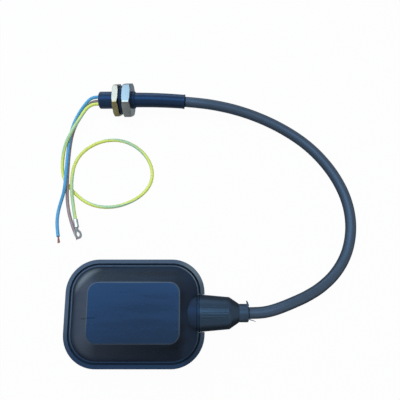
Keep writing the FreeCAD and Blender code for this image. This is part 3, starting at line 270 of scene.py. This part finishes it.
def gland_plastic():
    """Dark moulded plastic, with a painted highlight on its rounded edges."""
    made = Finish("gland_plastic", specular_ior_level=0.72, specular_tint=PALE_TINT)
    flow = made.noise(90, detail=3, stretch=(0.4, 1, 1))
    fine = made.noise(1400, detail=2)
    tone = made.mix(flow, srgb(23, 26, 29), srgb(31, 36, 42))
    edge_highlight = made.attribute("edge_highlight")
    # The rounded edges get a painted highlight
    made.set("Base Color", made.mix(edge_highlight, tone, srgb(92, 108, 124)))
    made.set("Roughness", 0.3 + 0.15 * fine)
    made.bump(fine, 0.00004, 0.6)
    return made


def black_rubber(name, dark, light, roughness, tint=SKY_TINT):
    """Black rubber with a fine grain, for the seal, the ring and the bush."""
    made = Finish(name, specular_ior_level=0.5, specular_tint=tint)
    cloud = made.noise(160, detail=4)
    grain = made.noise(2600, detail=2)
    made.set("Base Color", made.mix(cloud, dark, light))
    made.set("Roughness", roughness + 0.15 * grain)
    made.bump(grain, 0.00003, 0.7)
    return made


def cable_rubber(name="cable_rubber", by_uv=True):
    """Matt rubber sheath with fine lengthwise drawing marks."""
    made = Finish(name, specular_ior_level=0.85, specular_tint=CABLE_TINT)
    cloud = made.noise(120, detail=4)
    grain = made.noise(3200, detail=2)
    if by_uv:
        drawn = made.noise(1.0, made.uv(), 2, (38, 60, 1))
    else:
        drawn = made.noise(600, detail=2, stretch=(0.1, 1, 1))
    tone = made.mix(cloud * 0.6 + drawn * 0.4, srgb(36, 43, 51), srgb(56, 64, 74))
    made.set("Base Color", tone)
    made.set("Roughness", 0.36 + 0.2 * grain)
    made.bump(grain * 0.6 + drawn * 0.4, 0.00006, 0.8)
    return made


def shrunk_sleeve():
    """Glossy shrunk sleeve with shallow wrinkles across it."""
    made = Finish("shrunk_sleeve", specular_ior_level=0.5, specular_tint=SKY_TINT)
    ripple = made.noise(150, detail=2, stretch=(1.6, 0.6, 0.6))
    fine = made.noise(1800, detail=1)
    made.set("Base Color", made.mix(ripple, srgb(24, 29, 38), srgb(32, 40, 56)))
    made.set("Roughness", 0.3 + 0.12 * fine)
    made.bump(ripple * 0.8 + fine * 0.2, 0.00012, 0.5)
    return made


def turned_metal(name, dark, light, reflection_tone, roughness):
    """Machined metal with fine rings about its axis, and a painted reflection on all
    but its side towards the front.
    """
    made = Finish(name, metallic=1.0)
    fitting_centre = (-0.0532, 0.1776, 0.0122)
    fitting_turn = (0, math.radians(-3.45), math.radians(-1.2))
    local = made.place(fitting_centre, fitting_turn)
    across, up = local.axis("Y"), local.axis("Z")
    reach = (across * across + up * up).root()
    rings = (reach * 9000).sine() * 0.5 + 0.5
    patch = made.noise(220, detail=4)
    scuff = made.noise(1500, detail=3, stretch=(0.3, 1, 1))
    tone = made.mix(patch.span(0.35, 0.7), light, dark)
    bright = made.mix(patch * 0.35, reflection_tone, light)
    # Painted reflection on all but the side towards the front
    made.set("Base Color", made.mix(across.span(-0.0075, -0.006), tone, bright))
    made.set("Roughness", roughness + 0.12 * scuff + 0.1 * patch)
    made.bump(rings * 0.4 + scuff * 0.6, 0.000012, 0.5)
    return made


def insulation(name, dark, light, stripe=None):
    """Smooth insulation; the earth core has a stripe of another colour on it."""
    made = Finish(name, specular_ior_level=0.5)
    cloud = made.noise(260, detail=3)
    grain = made.noise(2400, detail=2)
    tone = made.mix(cloud, dark, light)
    if stripe:
        # The stripe winds slowly round the core
        girth, run = made.uv().axis("X"), made.uv().axis("Y")
        wander = made.noise(0.15, made.uv(), 1) * 0.25
        turns = girth - run * 0.115 + wander + 0.5
        band = abs(turns.math("FRACT") - 0.5)
        tone = made.mix(band.below(0.16, 0.04), tone, stripe)
    made.set("Base Color", tone)
    made.set("Roughness", 0.32 + 0.14 * grain)
    made.bump(grain, 0.00003, 0.5)
    return made


def bare_metal(name, dark, light, roughness, dull=None):
    """Bare metal, with a duller tone about one spot if need be."""
    made = Finish(name, metallic=1.0)
    patch = made.noise(500, detail=3)
    grain = made.noise(3000, detail=2)
    tone = made.mix(patch, dark, light)
    if dull:
        spot, reach, shade = dull
        near = made.distance(spot).below(reach, 0.0008)
        tone = made.mix(near, tone, shade)
    made.set("Base Color", tone)
    made.set("Roughness", roughness + 0.2 * grain)
    made.bump(grain, 0.00003, 0.6)
    return made


def moulding(name, dark, light, roughness):
    """A plain moulded plastic with a fine grain, for the pieces inside."""
    made = Finish(name)
    cloud = made.noise(90, detail=3)
    grain = made.noise(1600, detail=2)
    made.set("Base Color", made.mix(cloud, dark, light))
    made.set("Roughness", roughness + 0.15 * grain)
    made.bump(grain, 0.00004, 0.5)
    return made


SHELL = shell_plastic()
GLAND = gland_plastic()
SEAL = black_rubber(
    "seal_rubber", srgb(42, 50, 58), srgb(58, 70, 84), 0.36, PALE_TINT
)
RING = black_rubber("ring_rubber", srgb(18, 19, 22), srgb(32, 34, 38), 0.5)
BUSH = black_rubber("bush_rubber", srgb(26, 31, 42), srgb(34, 44, 62), 0.3)
CABLE = cable_rubber()
SHEATH = cable_rubber("sheath_rubber", by_uv=False)
SLEEVE = shrunk_sleeve()
BRASS = turned_metal(
    "turned_brass", srgb(136, 124, 85), srgb(148, 138, 104), srgb(140, 136, 130), 0.2
)
NICKEL = turned_metal(
    "turned_nickel", srgb(142, 141, 135), srgb(150, 152, 150), srgb(96, 113, 124), 0.18
)
BLUE = insulation("blue_insulation", srgb(66, 152, 204), srgb(88, 172, 218))
BROWN = insulation("brown_insulation", srgb(146, 120, 124), srgb(172, 146, 150))
EARTH = insulation(
    "earth_insulation", srgb(228, 234, 92), srgb(238, 242, 118), srgb(180, 216, 166)
)
EARTH_INNER = moulding("earth_lead", srgb(208, 214, 80), srgb(222, 228, 110), 0.35)
COPPER = bare_metal("copper_strands", srgb(128, 86, 80), srgb(172, 122, 112), 0.3)
TINNED = bare_metal(
    "tinned_copper",
    srgb(160, 164, 166),
    srgb(190, 194, 196),
    0.28,
    dull=((-0.06718, 0.06292, 0.004), 0.0062, srgb(178, 184, 188)),
)
STEEL = bare_metal("polished_steel", srgb(176, 178, 180), srgb(206, 208, 210), 0.12)
ZINC = bare_metal("zinc_plate", srgb(158, 162, 168), srgb(196, 200, 206), 0.3)
NYLON = moulding("natural_nylon", srgb(214, 212, 200), srgb(232, 230, 220), 0.4)
HOUSING = moulding("switch_moulding", srgb(28, 28, 30), srgb(42, 42, 44), 0.45)
PLUNGER = moulding("red_moulding", srgb(176, 40, 30), srgb(196, 54, 40), 0.35)
CAP = moulding("grey_moulding", srgb(150, 152, 154), srgb(176, 178, 180), 0.45)


def give(finish, *names):
    """Puts a finish on CAD nodes or pieces, by name or object."""
    for name in names:
        piece = nodes[name] if isinstance(name, str) else name
        piece.data.materials.clear()
        piece.data.materials.append(finish.material)


# Pieces with rounded edges, and the slivers at the collar

# Angles between faces, in degrees: up to the first they are one flat, past the second
# their edge is rounded, and up to the third they shade as one
FLAT_ANGLE = 0.3
EDGE_ANGLE = 32
SMOOTH_ANGLE = 34


def finished(name, mesh):
    """Ends the work on a mesh and puts it in the scene."""
    mesh.normal_update()
    data = bpy.data.meshes.new(name)
    mesh.to_mesh(data)
    mesh.free()
    piece = bpy.data.objects.new(name, data)
    scene.collection.objects.link(piece)
    return piece


def corner_normals(mesh, limit):
    """A normal for each face corner, led by the widest faces that meet there."""
    normals = []
    for face in mesh.faces:
        for corner in face.loops:
            total = Vector()
            for near in corner.vert.link_faces:
                if face.normal.dot(near.normal) > limit:
                    total += near.normal * near.calc_area()
            normals.append(total.normalized())
    return normals


def draw_out(mesh, reach):
    """Moves the end face towards the float outwards, to close a hairline gap."""
    start = min(vertex.co.x for vertex in mesh.verts)
    for vertex in mesh.verts:
        if vertex.co.x < start + 1e-5:
            vertex.co.x -= reach


def mark_highlight_and_shade(mesh, rounded, edge_highlight, groove_shade):
    """Marks the lip and the rounded edges for a painted highlight, and the groove for
    painted shade.
    """
    slack = 0.0002
    for face in mesh.faces:
        rise = abs(face.calc_center_median().z - SEAM_HEIGHT)
        level = abs(face.normal.z)
        if level > 0.9 and abs(rise - LIP_RISE) < slack:
            face[edge_highlight] = 0.45
        elif 0.7 < level < 0.985 and rise > FLAT_FACE_RISE:
            face[edge_highlight] = 0.5
        elif level > 0.9 and abs(rise - GROOVE_RISE) < slack:
            face[groove_shade] = 1
    for face in rounded:
        face[edge_highlight] = 0.5


def softened(name, width, bare=None, drawn=0):
    """A copy of a CAD node with its outer edges rounded, which takes its place.

    Edges stay sharp where bare says so.
    """
    mesh = bmesh.new()
    mesh.from_mesh(nodes[name].data)
    edge_highlight = mesh.faces.layers.float.new("edge_highlight")
    groove_shade = mesh.faces.layers.float.new("groove_shade")
    bmesh.ops.remove_doubles(mesh, verts=mesh.verts, dist=1e-6)
    bmesh.ops.dissolve_limit(
        mesh, angle_limit=math.radians(FLAT_ANGLE), verts=mesh.verts, edges=mesh.edges
    )
    draw_out(mesh, drawn)
    sharp = [
        edge
        for edge in mesh.edges
        if edge.is_manifold
        and edge.calc_face_angle_signed() > math.radians(EDGE_ANGLE)
        and not (bare and all(bare(end.co) for end in edge.verts))
    ]
    made = bmesh.ops.bevel(
        mesh,
        geom=sharp,
        offset=width,
        segments=2,
        profile=0.5,
        affect="EDGES",
        clamp_overlap=True,
    )
    mark_highlight_and_shade(mesh, made["faces"], edge_highlight, groove_shade)
    bmesh.ops.triangulate(mesh, faces=mesh.faces)
    for face in mesh.faces:
        face.smooth = True
    normals = corner_normals(mesh, math.cos(math.radians(SMOOTH_ANGLE)))
    piece = finished(f"{name}_form", mesh)
    piece.data.normals_split_custom_set(normals)
    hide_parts(name)
    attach(piece, "float")
    return piece


def at_notch(spot):
    """Whether a point of the shell lies at the notch for the gland nut."""
    return spot.x > NOTCH_START and abs(spot.y) < NOTCH_HALF_WIDTH


def at_neck(spot):
    """Whether a point of the gland nut lies at its end towards the float."""
    return spot.x < NUT_START


def sliver(name, spots, width):
    """A thin moulding sliver: a flat strip that narrows from its first spot."""
    mesh = bmesh.new()
    rings = []
    for i, spot in enumerate(spots):
        spot = Vector(spot)
        ahead = Vector(spots[min(i + 1, len(spots) - 1)])
        behind = Vector(spots[max(i - 1, 0)])
        along = (ahead - behind).normalized()
        side = along.cross(Vector((0, 0, 1))).normalized()
        side *= width / 2 * (1 - 0.6 * i / (len(spots) - 1))
        up = Vector((0, 0, 0.00012))
        corners = (side - up, side + up, up - side, -side - up)
        rings.append([mesh.verts.new(spot + corner) for corner in corners])
    for near, far in zip(rings, rings[1:]):
        for k in range(4):
            after = (k + 1) % 4
            mesh.faces.new((near[k], near[after], far[after], far[k]))
    mesh.faces.new(list(reversed(rings[0])))
    mesh.faces.new(rings[-1])
    bmesh.ops.recalc_face_normals(mesh, faces=mesh.faces)
    piece = finished(name, mesh)
    give(SEAL, piece)
    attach(piece, "float")


SLIVER_FAR = [
    (0.0681, 0.0048, 0.0263),
    (0.0681, 0.0062, 0.0262),
    (0.0678, 0.0076, 0.0262),
    (0.0672, 0.0089, 0.0264),
]
SLIVER_NEAR = [
    (0.0686, -0.0042, 0.0255),
    (0.0703, -0.0051, 0.0257),
    (0.0722, -0.0055, 0.0259),
    (0.0738, -0.0064, 0.026),
]

# The float's outside and the fitting
for half in ("shell_upper", "shell_lower"):
    give(SHELL, softened(half, 0.0007, at_notch))
give(GLAND, softened("gland_nut", 0.0002, at_neck, 0.00009))
give(SEAL, softened("cable_seal", 0.0003))
give(RING, "sealing_ring")
bush = softened("cable_bush", 0.0003)
give(BUSH, bush)
give(SLEEVE, "heat_shrink_sleeve")
give(SHEATH, "cable_sleeved", "cable_inner")
lock_nut = softened("lock_nut", 0.0003)
give(BRASS, lock_nut)
hollow_screw = softened("hollow_screw", 0.0003)
give(NICKEL, hollow_screw)
sliver("sliver_far", SLIVER_FAR, 0.002)
sliver("sliver_near", SLIVER_NEAR, 0.0008)

# The switch inside the float, and the terminal on the earth core
give(BLUE, "lead_blue_inner")
give(BROWN, "lead_brown_inner")
give(EARTH_INNER, "lead_earth_inner")
give(STEEL, "steel_ball", "lever_pin", "switch_lever")
give(ZINC, "case_screws", "clamp_screws")
give(NYLON, "gland_thrust_ring", "case_base", "case_lid", "cable_clamp")
give(HOUSING, "switch_housing", "switch_cover")
give(PLUNGER, "switch_plunger")
give(CAP, "earth_end_cap")
give(COPPER, "terminal_common", "terminal_open", "terminal_closed", "contact_blade")
give(TINNED, "ring_terminal")


# Cords: each follows the line of one spline through its route's points


def spline_line(points):
    """The smooth line of an open spline with the route's points to steer it."""
    data = bpy.data.curves.new("route", "CURVE")
    data.dimensions = "3D"
    data.resolution_u = 14
    spline = data.splines.new("NURBS")
    spline.points.add(len(points) - 1)
    for knot, point in zip(spline.points, points):
        knot.co = (*point, 1)
    spline.order_u = 3
    spline.use_endpoint_u = True
    holder = bpy.data.objects.new("route", data)
    scene.collection.objects.link(holder)
    shaped = holder.evaluated_get(bpy.context.evaluated_depsgraph_get())
    mesh = bpy.data.meshes.new_from_object(shaped)
    line = [vertex.co.copy() for vertex in mesh.vertices]
    bpy.data.objects.remove(holder)
    bpy.data.meshes.remove(mesh)
    return line


def sweep(name, line, radius, sides):
    """A round tube along a line, with its length and girth in its UV map."""
    mesh = bmesh.new()
    layer = mesh.loops.layers.uv.new("UVMap")
    ahead = (line[1] - line[0]).normalized()
    side = ahead.orthogonal().normalized()
    rings = []
    lengths = []
    run = 0
    for i, point in enumerate(line):
        before = line[max(i - 1, 0)]
        after = line[min(i + 1, len(line) - 1)]
        heading = (after - before).normalized()
        turn = ahead.rotation_difference(heading)
        side = (turn @ side).normalized()
        ahead = heading
        up = ahead.cross(side)
        run += (point - before).length
        lengths.append(run)
        ring = []
        for k in range(sides):
            angle = math.tau * k / sides
            out = math.cos(angle) * side + math.sin(angle) * up
            ring.append(mesh.verts.new(point + out * radius))
        rings.append(ring)
    for i, (near, far) in enumerate(zip(rings, rings[1:])):
        for k in range(sides):
            after = (k + 1) % sides
            face = mesh.faces.new((near[k], near[after], far[after], far[k]))
            face.smooth = True
            corners = [(k, i), (k + 1, i), (k + 1, i + 1), (k, i + 1)]
            for loop, (u, v) in zip(face.loops, corners):
                loop[layer].uv = (u / sides, lengths[v] * 100)
    mesh.faces.new(list(reversed(rings[0])))
    mesh.faces.new(rings[-1])
    return finished(name, mesh), lengths[-1]


CABLE_ROUTE = [
    (0.06895, 0.0, 0.021),
    (0.07695, 0.0, 0.021),
    (0.0858, 0.0014, 0.02075),
    (0.0948, 0.0043, 0.0199),
    (0.1042, 0.008, 0.0182),
    (0.1142, 0.0122, 0.0156),
    (0.127, 0.0192, 0.0114),
    (0.1408, 0.0308, 0.0074),
    (0.1516, 0.0472, 0.005),
    (0.1566, 0.0668, 0.00436),
    (0.1557, 0.0866, 0.00436),
    (0.1495, 0.1056, 0.00436),
    (0.1386, 0.1238, 0.00436),
    (0.1238, 0.1402, 0.00436),
    (0.1052, 0.1536, 0.0047),
    (0.0848, 0.1634, 0.0068),
    (0.0644, 0.1694, 0.0102),
    (0.0464, 0.1724, 0.0132),
    (0.03159, 0.17359, 0.01547),
    (0.01964, 0.17465, 0.01541),
]
BLUE_ROUTE = [
    (-0.0532, 0.1802, 0.01309),
    (-0.05799, 0.1803, 0.0128),
    (-0.0623, 0.1783, 0.012),
    (-0.0664, 0.174, 0.0104),
    (-0.0706, 0.1686, 0.0085),
    (-0.0743, 0.1623, 0.0068),
    (-0.077, 0.1554, 0.0054),
    (-0.0787, 0.1472, 0.0046),
    (-0.0796, 0.1376, 0.00436),
    (-0.0799, 0.128, 0.0045),
    (-0.0797, 0.1194, 0.0058),
    (-0.0794, 0.1114, 0.0074),
    (-0.0795, 0.1034, 0.0074),
    (-0.0808, 0.0968, 0.0052),
    (-0.0834, 0.09, 0.0026),
    (-0.0854, 0.0824, 0.00142),
    (-0.0858, 0.0748, 0.00142),
    (-0.0851, 0.0677, 0.00142),
    (-0.0839, 0.0613, 0.00142),
]
BROWN_ROUTE = [
    (-0.05305, 0.1778, 0.00979),
    (-0.05784, 0.1779, 0.0095),
    (-0.0625, 0.1763, 0.0082),
    (-0.0667, 0.1719, 0.0056),
    (-0.071, 0.1664, 0.0034),
    (-0.0748, 0.1602, 0.002),
    (-0.0773, 0.1532, 0.00142),
    (-0.0786, 0.1452, 0.00142),
    (-0.0793, 0.1364, 0.00142),
    (-0.0795, 0.1278, 0.0015),
    (-0.0792, 0.1196, 0.0027),
    (-0.0786, 0.1118, 0.00462),
    (-0.0783, 0.1032, 0.00462),
    (-0.0785, 0.0962, 0.0026),
    (-0.0779, 0.0886, 0.00142),
    (-0.0763, 0.0812, 0.00142),
    (-0.074, 0.074, 0.00142),
    (-0.0719, 0.0684, 0.00142),
    (-0.0699, 0.0638, 0.00142),
]
EARTH_ROUTE = [
    (-0.05332, 0.1738, 0.01289),
    (-0.05811, 0.1739, 0.0126),
    (-0.0625, 0.1719, 0.0121),
    (-0.0661, 0.168, 0.0112),
    (-0.0698, 0.162, 0.0101),
    (-0.0735, 0.1562, 0.009),
    (-0.077, 0.1502, 0.0081),
    (-0.0802, 0.1436, 0.0075),
    (-0.0828, 0.1362, 0.0054),
    (-0.0843, 0.1284, 0.0026),
    (-0.0845, 0.1198, 0.00142),
    (-0.0826, 0.111, 0.00142),
    (-0.0776, 0.1036, 0.00142),
    (-0.0709, 0.0964, 0.00142),
    (-0.062, 0.0896, 0.00142),
    (-0.0506, 0.086, 0.00142),
    (-0.0378, 0.0862, 0.00142),
    (-0.0252, 0.0904, 0.00142),
    (-0.0146, 0.0976, 0.00142),
    (-0.0082, 0.1074, 0.00142),
    (-0.0076, 0.119, 0.00142),
    (-0.0132, 0.1312, 0.00142),
    (-0.0236, 0.1406, 0.00142),
    (-0.0364, 0.1456, 0.00142),
    (-0.05, 0.145, 0.00142),
    (-0.0618, 0.1398, 0.00142),
    (-0.0704, 0.1318, 0.00142),
    (-0.0746, 0.1224, 0.0015),
    (-0.0752, 0.1136, 0.0028),
    (-0.0749, 0.1058, 0.00445),
    (-0.0743, 0.0982, 0.00445),
    (-0.0732, 0.0906, 0.0036),
    (-0.0717, 0.0826, 0.0036),
    (-0.07, 0.0752, 0.00375),
]

GOLDEN_ANGLE = 2.39996


def strand_tree(name, seed):
    """The node tree of a loose twist of wires, and what its inputs are set to."""
    tree = bpy.data.node_groups.new(name, "GeometryNodeTree")
    sizes = {}
    for label, kind, value in (
        ("Wires", "NodeSocketInt", 22),
        ("Length", "NodeSocketFloat", 0.0056),
        ("Bundle Radius", "NodeSocketFloat", 0.0009),
        ("Wire Radius", "NodeSocketFloat", 0.00014),
        ("Twist", "NodeSocketFloat", 1.5),
        ("Seed", "NodeSocketInt", seed),
    ):
        socket = tree.interface.new_socket(label, in_out="INPUT", socket_type=kind)
        sizes[socket.identifier] = value
    tree.interface.new_socket(
        "Geometry", in_out="OUTPUT", socket_type="NodeSocketGeometry"
    )

    def add(kind, settings=None, inputs=None, output=0):
        return add_node(tree, kind, settings, inputs, output)

    given = tree.nodes.new("NodeGroupInput").outputs
    wire = add("GeometryNodeCurvePrimitiveLine")
    wire = add("GeometryNodeResampleCurve", None, {"Curve": wire, "Count": 9})
    copies = add(
        "GeometryNodeDuplicateElements",
        {"domain": "SPLINE"},
        {"Geometry": wire, "Amount": given["Wires"]},
    )
    numbered = add(
        "GeometryNodeCaptureAttribute", {"domain": "CURVE"}, {"Geometry": copies}
    ).socket.node
    numbered.capture_items.new("INT", "Number")
    copy_number = copies.socket.node.outputs["Duplicate Index"]
    feed(tree, numbered.inputs["Number"], copy_number)

    # Each wire keeps its own turn and distance, and opens towards the cut
    index = Value(tree, numbered.outputs["Number"])
    along = add("GeometryNodeSplineParameter", output="Factor")
    angle = index * GOLDEN_ANGLE + along * given["Twist"]
    share = (index + 0.5).math("DIVIDE", given["Wires"])
    loose = along.math("POWER", 2.0) * 0.5 + 0.75
    out = share.root() * given["Bundle Radius"] * loose
    cut = add(
        "FunctionNodeRandomValue",
        {"data_type": "FLOAT"},
        {"Min": 0.82, "Max": 1.0, "ID": index, "Seed": given["Seed"]},
        output=1,
    )
    places = {
        "X": angle.math("COSINE") * out,
        "Y": angle.sine() * out,
        "Z": along * cut * given["Length"],
    }
    placed = add(
        "GeometryNodeSetPosition",
        None,
        {
            "Geometry": numbered.outputs["Geometry"],
            "Position": add("ShaderNodeCombineXYZ", None, places),
        },
    )
    profile = add(
        "GeometryNodeCurvePrimitiveCircle",
        None,
        {"Resolution": 6, "Radius": given["Wire Radius"]},
    )
    tube = add(
        "GeometryNodeCurveToMesh",
        None,
        {"Curve": placed, "Profile Curve": profile, "Fill Caps": True},
    )
    real = add("GeometryNodeRealizeInstances", None, {"Geometry": tube})
    painted = add(
        "GeometryNodeSetMaterial",
        None,
        {"Geometry": real, "Material": COPPER.material},
    )
    feed(tree, tree.nodes.new("NodeGroupOutput").inputs[0], painted)
    return tree, sizes


def strands(name, route, seed):
    """The bare strands at the end of a core, in place of the CAD's plain ones."""
    tree, sizes = strand_tree(f"{name}_tree", seed)
    holder = bpy.data.objects.new(f"{name}_holder", bpy.data.meshes.new("holder"))
    scene.collection.objects.link(holder)
    modifier = holder.modifiers.new("strands", "NODES")
    modifier.node_group = tree
    for identifier, value in sizes.items():
        modifier[identifier] = value
    shaped = holder.evaluated_get(bpy.context.evaluated_depsgraph_get())
    data = bpy.data.meshes.new_from_object(shaped)
    bpy.data.objects.remove(holder)
    end, before = Vector(route[-1]), Vector(route[-2])
    heading = (end - before).normalized()
    turn = heading.to_track_quat("Z", "Y").to_matrix().to_4x4()
    data.transform(Matrix.Translation(end) @ turn)
    piece = bpy.data.objects.new(f"{name}_wires", data)
    scene.collection.objects.link(piece)
    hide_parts(name)
    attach(piece, "float")
    return piece


def cord(name, route, finish, radius, sides):
    """A cord swept along its route, in place of the CAD's plain one."""
    line = spline_line(route)
    piece, length = sweep(f"{name}_tube", line, radius, sides)
    give(finish, piece)
    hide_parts(name)
    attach(piece, "float")


def core(name, route, finish):
    """One insulated core."""
    cord(
        name,
        route,
        finish,
        radius=CORE_RADIUS,
        sides=16,
    )


cord(
    "cable",
    CABLE_ROUTE,
    CABLE,
    radius=CABLE_RADIUS,
    sides=40,
)
blue_end = strands("strands_blue", BLUE_ROUTE, seed=18)
core("core_blue", BLUE_ROUTE, BLUE)
brown_end = strands("strands_brown", BROWN_ROUTE, seed=19)
core("core_brown", BROWN_ROUTE, BROWN)
core("core_earth", EARTH_ROUTE, EARTH)


# Floor, world and lamps


def ray(tree, kind):
    """1 on rays of one kind, 0 on the others."""
    return add_node(tree, "ShaderNodeLightPath", output=f"Is {kind} Ray")


def blend(tree, share, first, second):
    """Mixes two shaders by a share from 0 to 1."""
    inputs = {0: share, 1: first, 2: second}
    return add_node(tree, "ShaderNodeMixShader", None, inputs)


floor_mesh = bmesh.new()
bmesh.ops.create_grid(floor_mesh, x_segments=1, y_segments=1, size=4)
bmesh.ops.translate(floor_mesh, verts=floor_mesh.verts, vec=(0, 0, -0.0003))
floor = finished("floor", floor_mesh)
FLOOR = Finish(
    "pale_floor", base_color=srgb(214, 216, 218), roughness=0.9, specular_ior_level=0.1
)
camera_ray, mirror_ray, through_ray = (
    ray(FLOOR.tree, kind) for kind in ("Camera", "Glossy", "Transmission")
)
# In reflections the floor is bright on the left and darkens towards the front
spot = FLOOR.place()
left = spot.axis("X").span(0.02, -0.17, 0.0, 0.8)
back = spot.axis("Y").span(-0.06, 0.2, 0.02, 0.4)
shine = FLOOR.mix(left + back, (0, 0, 0, 1), (0.8, 0.9, 1, 1))
glow = FLOOR.mix(mirror_ray, (1, 1, 1, 1), shine)
lit = FLOOR.node("ShaderNodeEmission", None, {"Color": glow})
# The last few hundredths are the lit floor, with the object's faint shadow on it
lit_share = (camera_ray + mirror_ray + through_ray) * 0.97
surface = blend(FLOOR.tree, lit_share, FLOOR.shader.outputs[0], lit)
feed(FLOOR.tree, FLOOR.output.inputs["Surface"], surface)
give(FLOOR, floor)

world = bpy.data.worlds.new("studio")
world.use_nodes = True
scene.world = world
studio = world.node_tree
studio.nodes.clear()
room_light = {"Color": (1, 0.97, 0.92, 1), "Strength": 0.24}
room = add_node(studio, "ShaderNodeBackground", None, room_light)
white_light = {"Color": (1, 1, 1, 1), "Strength": 1}
white = add_node(studio, "ShaderNodeBackground", None, white_light)
seen = ray(studio, "Camera").math("MAXIMUM", ray(studio, "Glossy"))
seen = seen.math("MAXIMUM", ray(studio, "Transmission"))
ends = studio.nodes.new("ShaderNodeOutputWorld")
feed(studio, ends.inputs["Surface"], blend(studio, seen, room, white))


def lamp(name, place, target, size, brightness, colour):
    """A soft square lamp. Its brightness is what its face shows, where 1 is white."""
    data = bpy.data.lights.new(name, "AREA")
    data.shape = "SQUARE"
    data.size = size
    data.energy = brightness * math.pi * size * size
    data.color = colour
    made = bpy.data.objects.new(name, data)
    scene.collection.objects.link(made)
    made.location = place
    aim = Vector(target) - Vector(place)
    made.rotation_euler = aim.to_track_quat("-Z", "Y").to_euler()


lamp("sky_lamp", (-0.37, 0.36, 1.0), (-0.02, 0.02, 0), 0.64, 4.9, (0.6, 0.82, 1))
lamp("side_lamp", (-0.76, 0.46, 0.26), (0, 0.02, 0), 0.4, 2.4, (0.64, 0.87, 1))
lamp("window_lamp", (-0.1, 1.15, 0.3), (-0.02, 0.1, 0), 0.56, 2.4, (0.68, 0.87, 1))
lamp("gland_lamp", (0.12, 0.2, 1.0), (0.06, 0, 0.02), 0.3, 7, (0.78, 0.9, 1))
lamp("fill_lamp", (0.7, -0.4, 0.7), (0, 0.05, 0), 0.5, 1.1, (1, 0.95, 0.86))
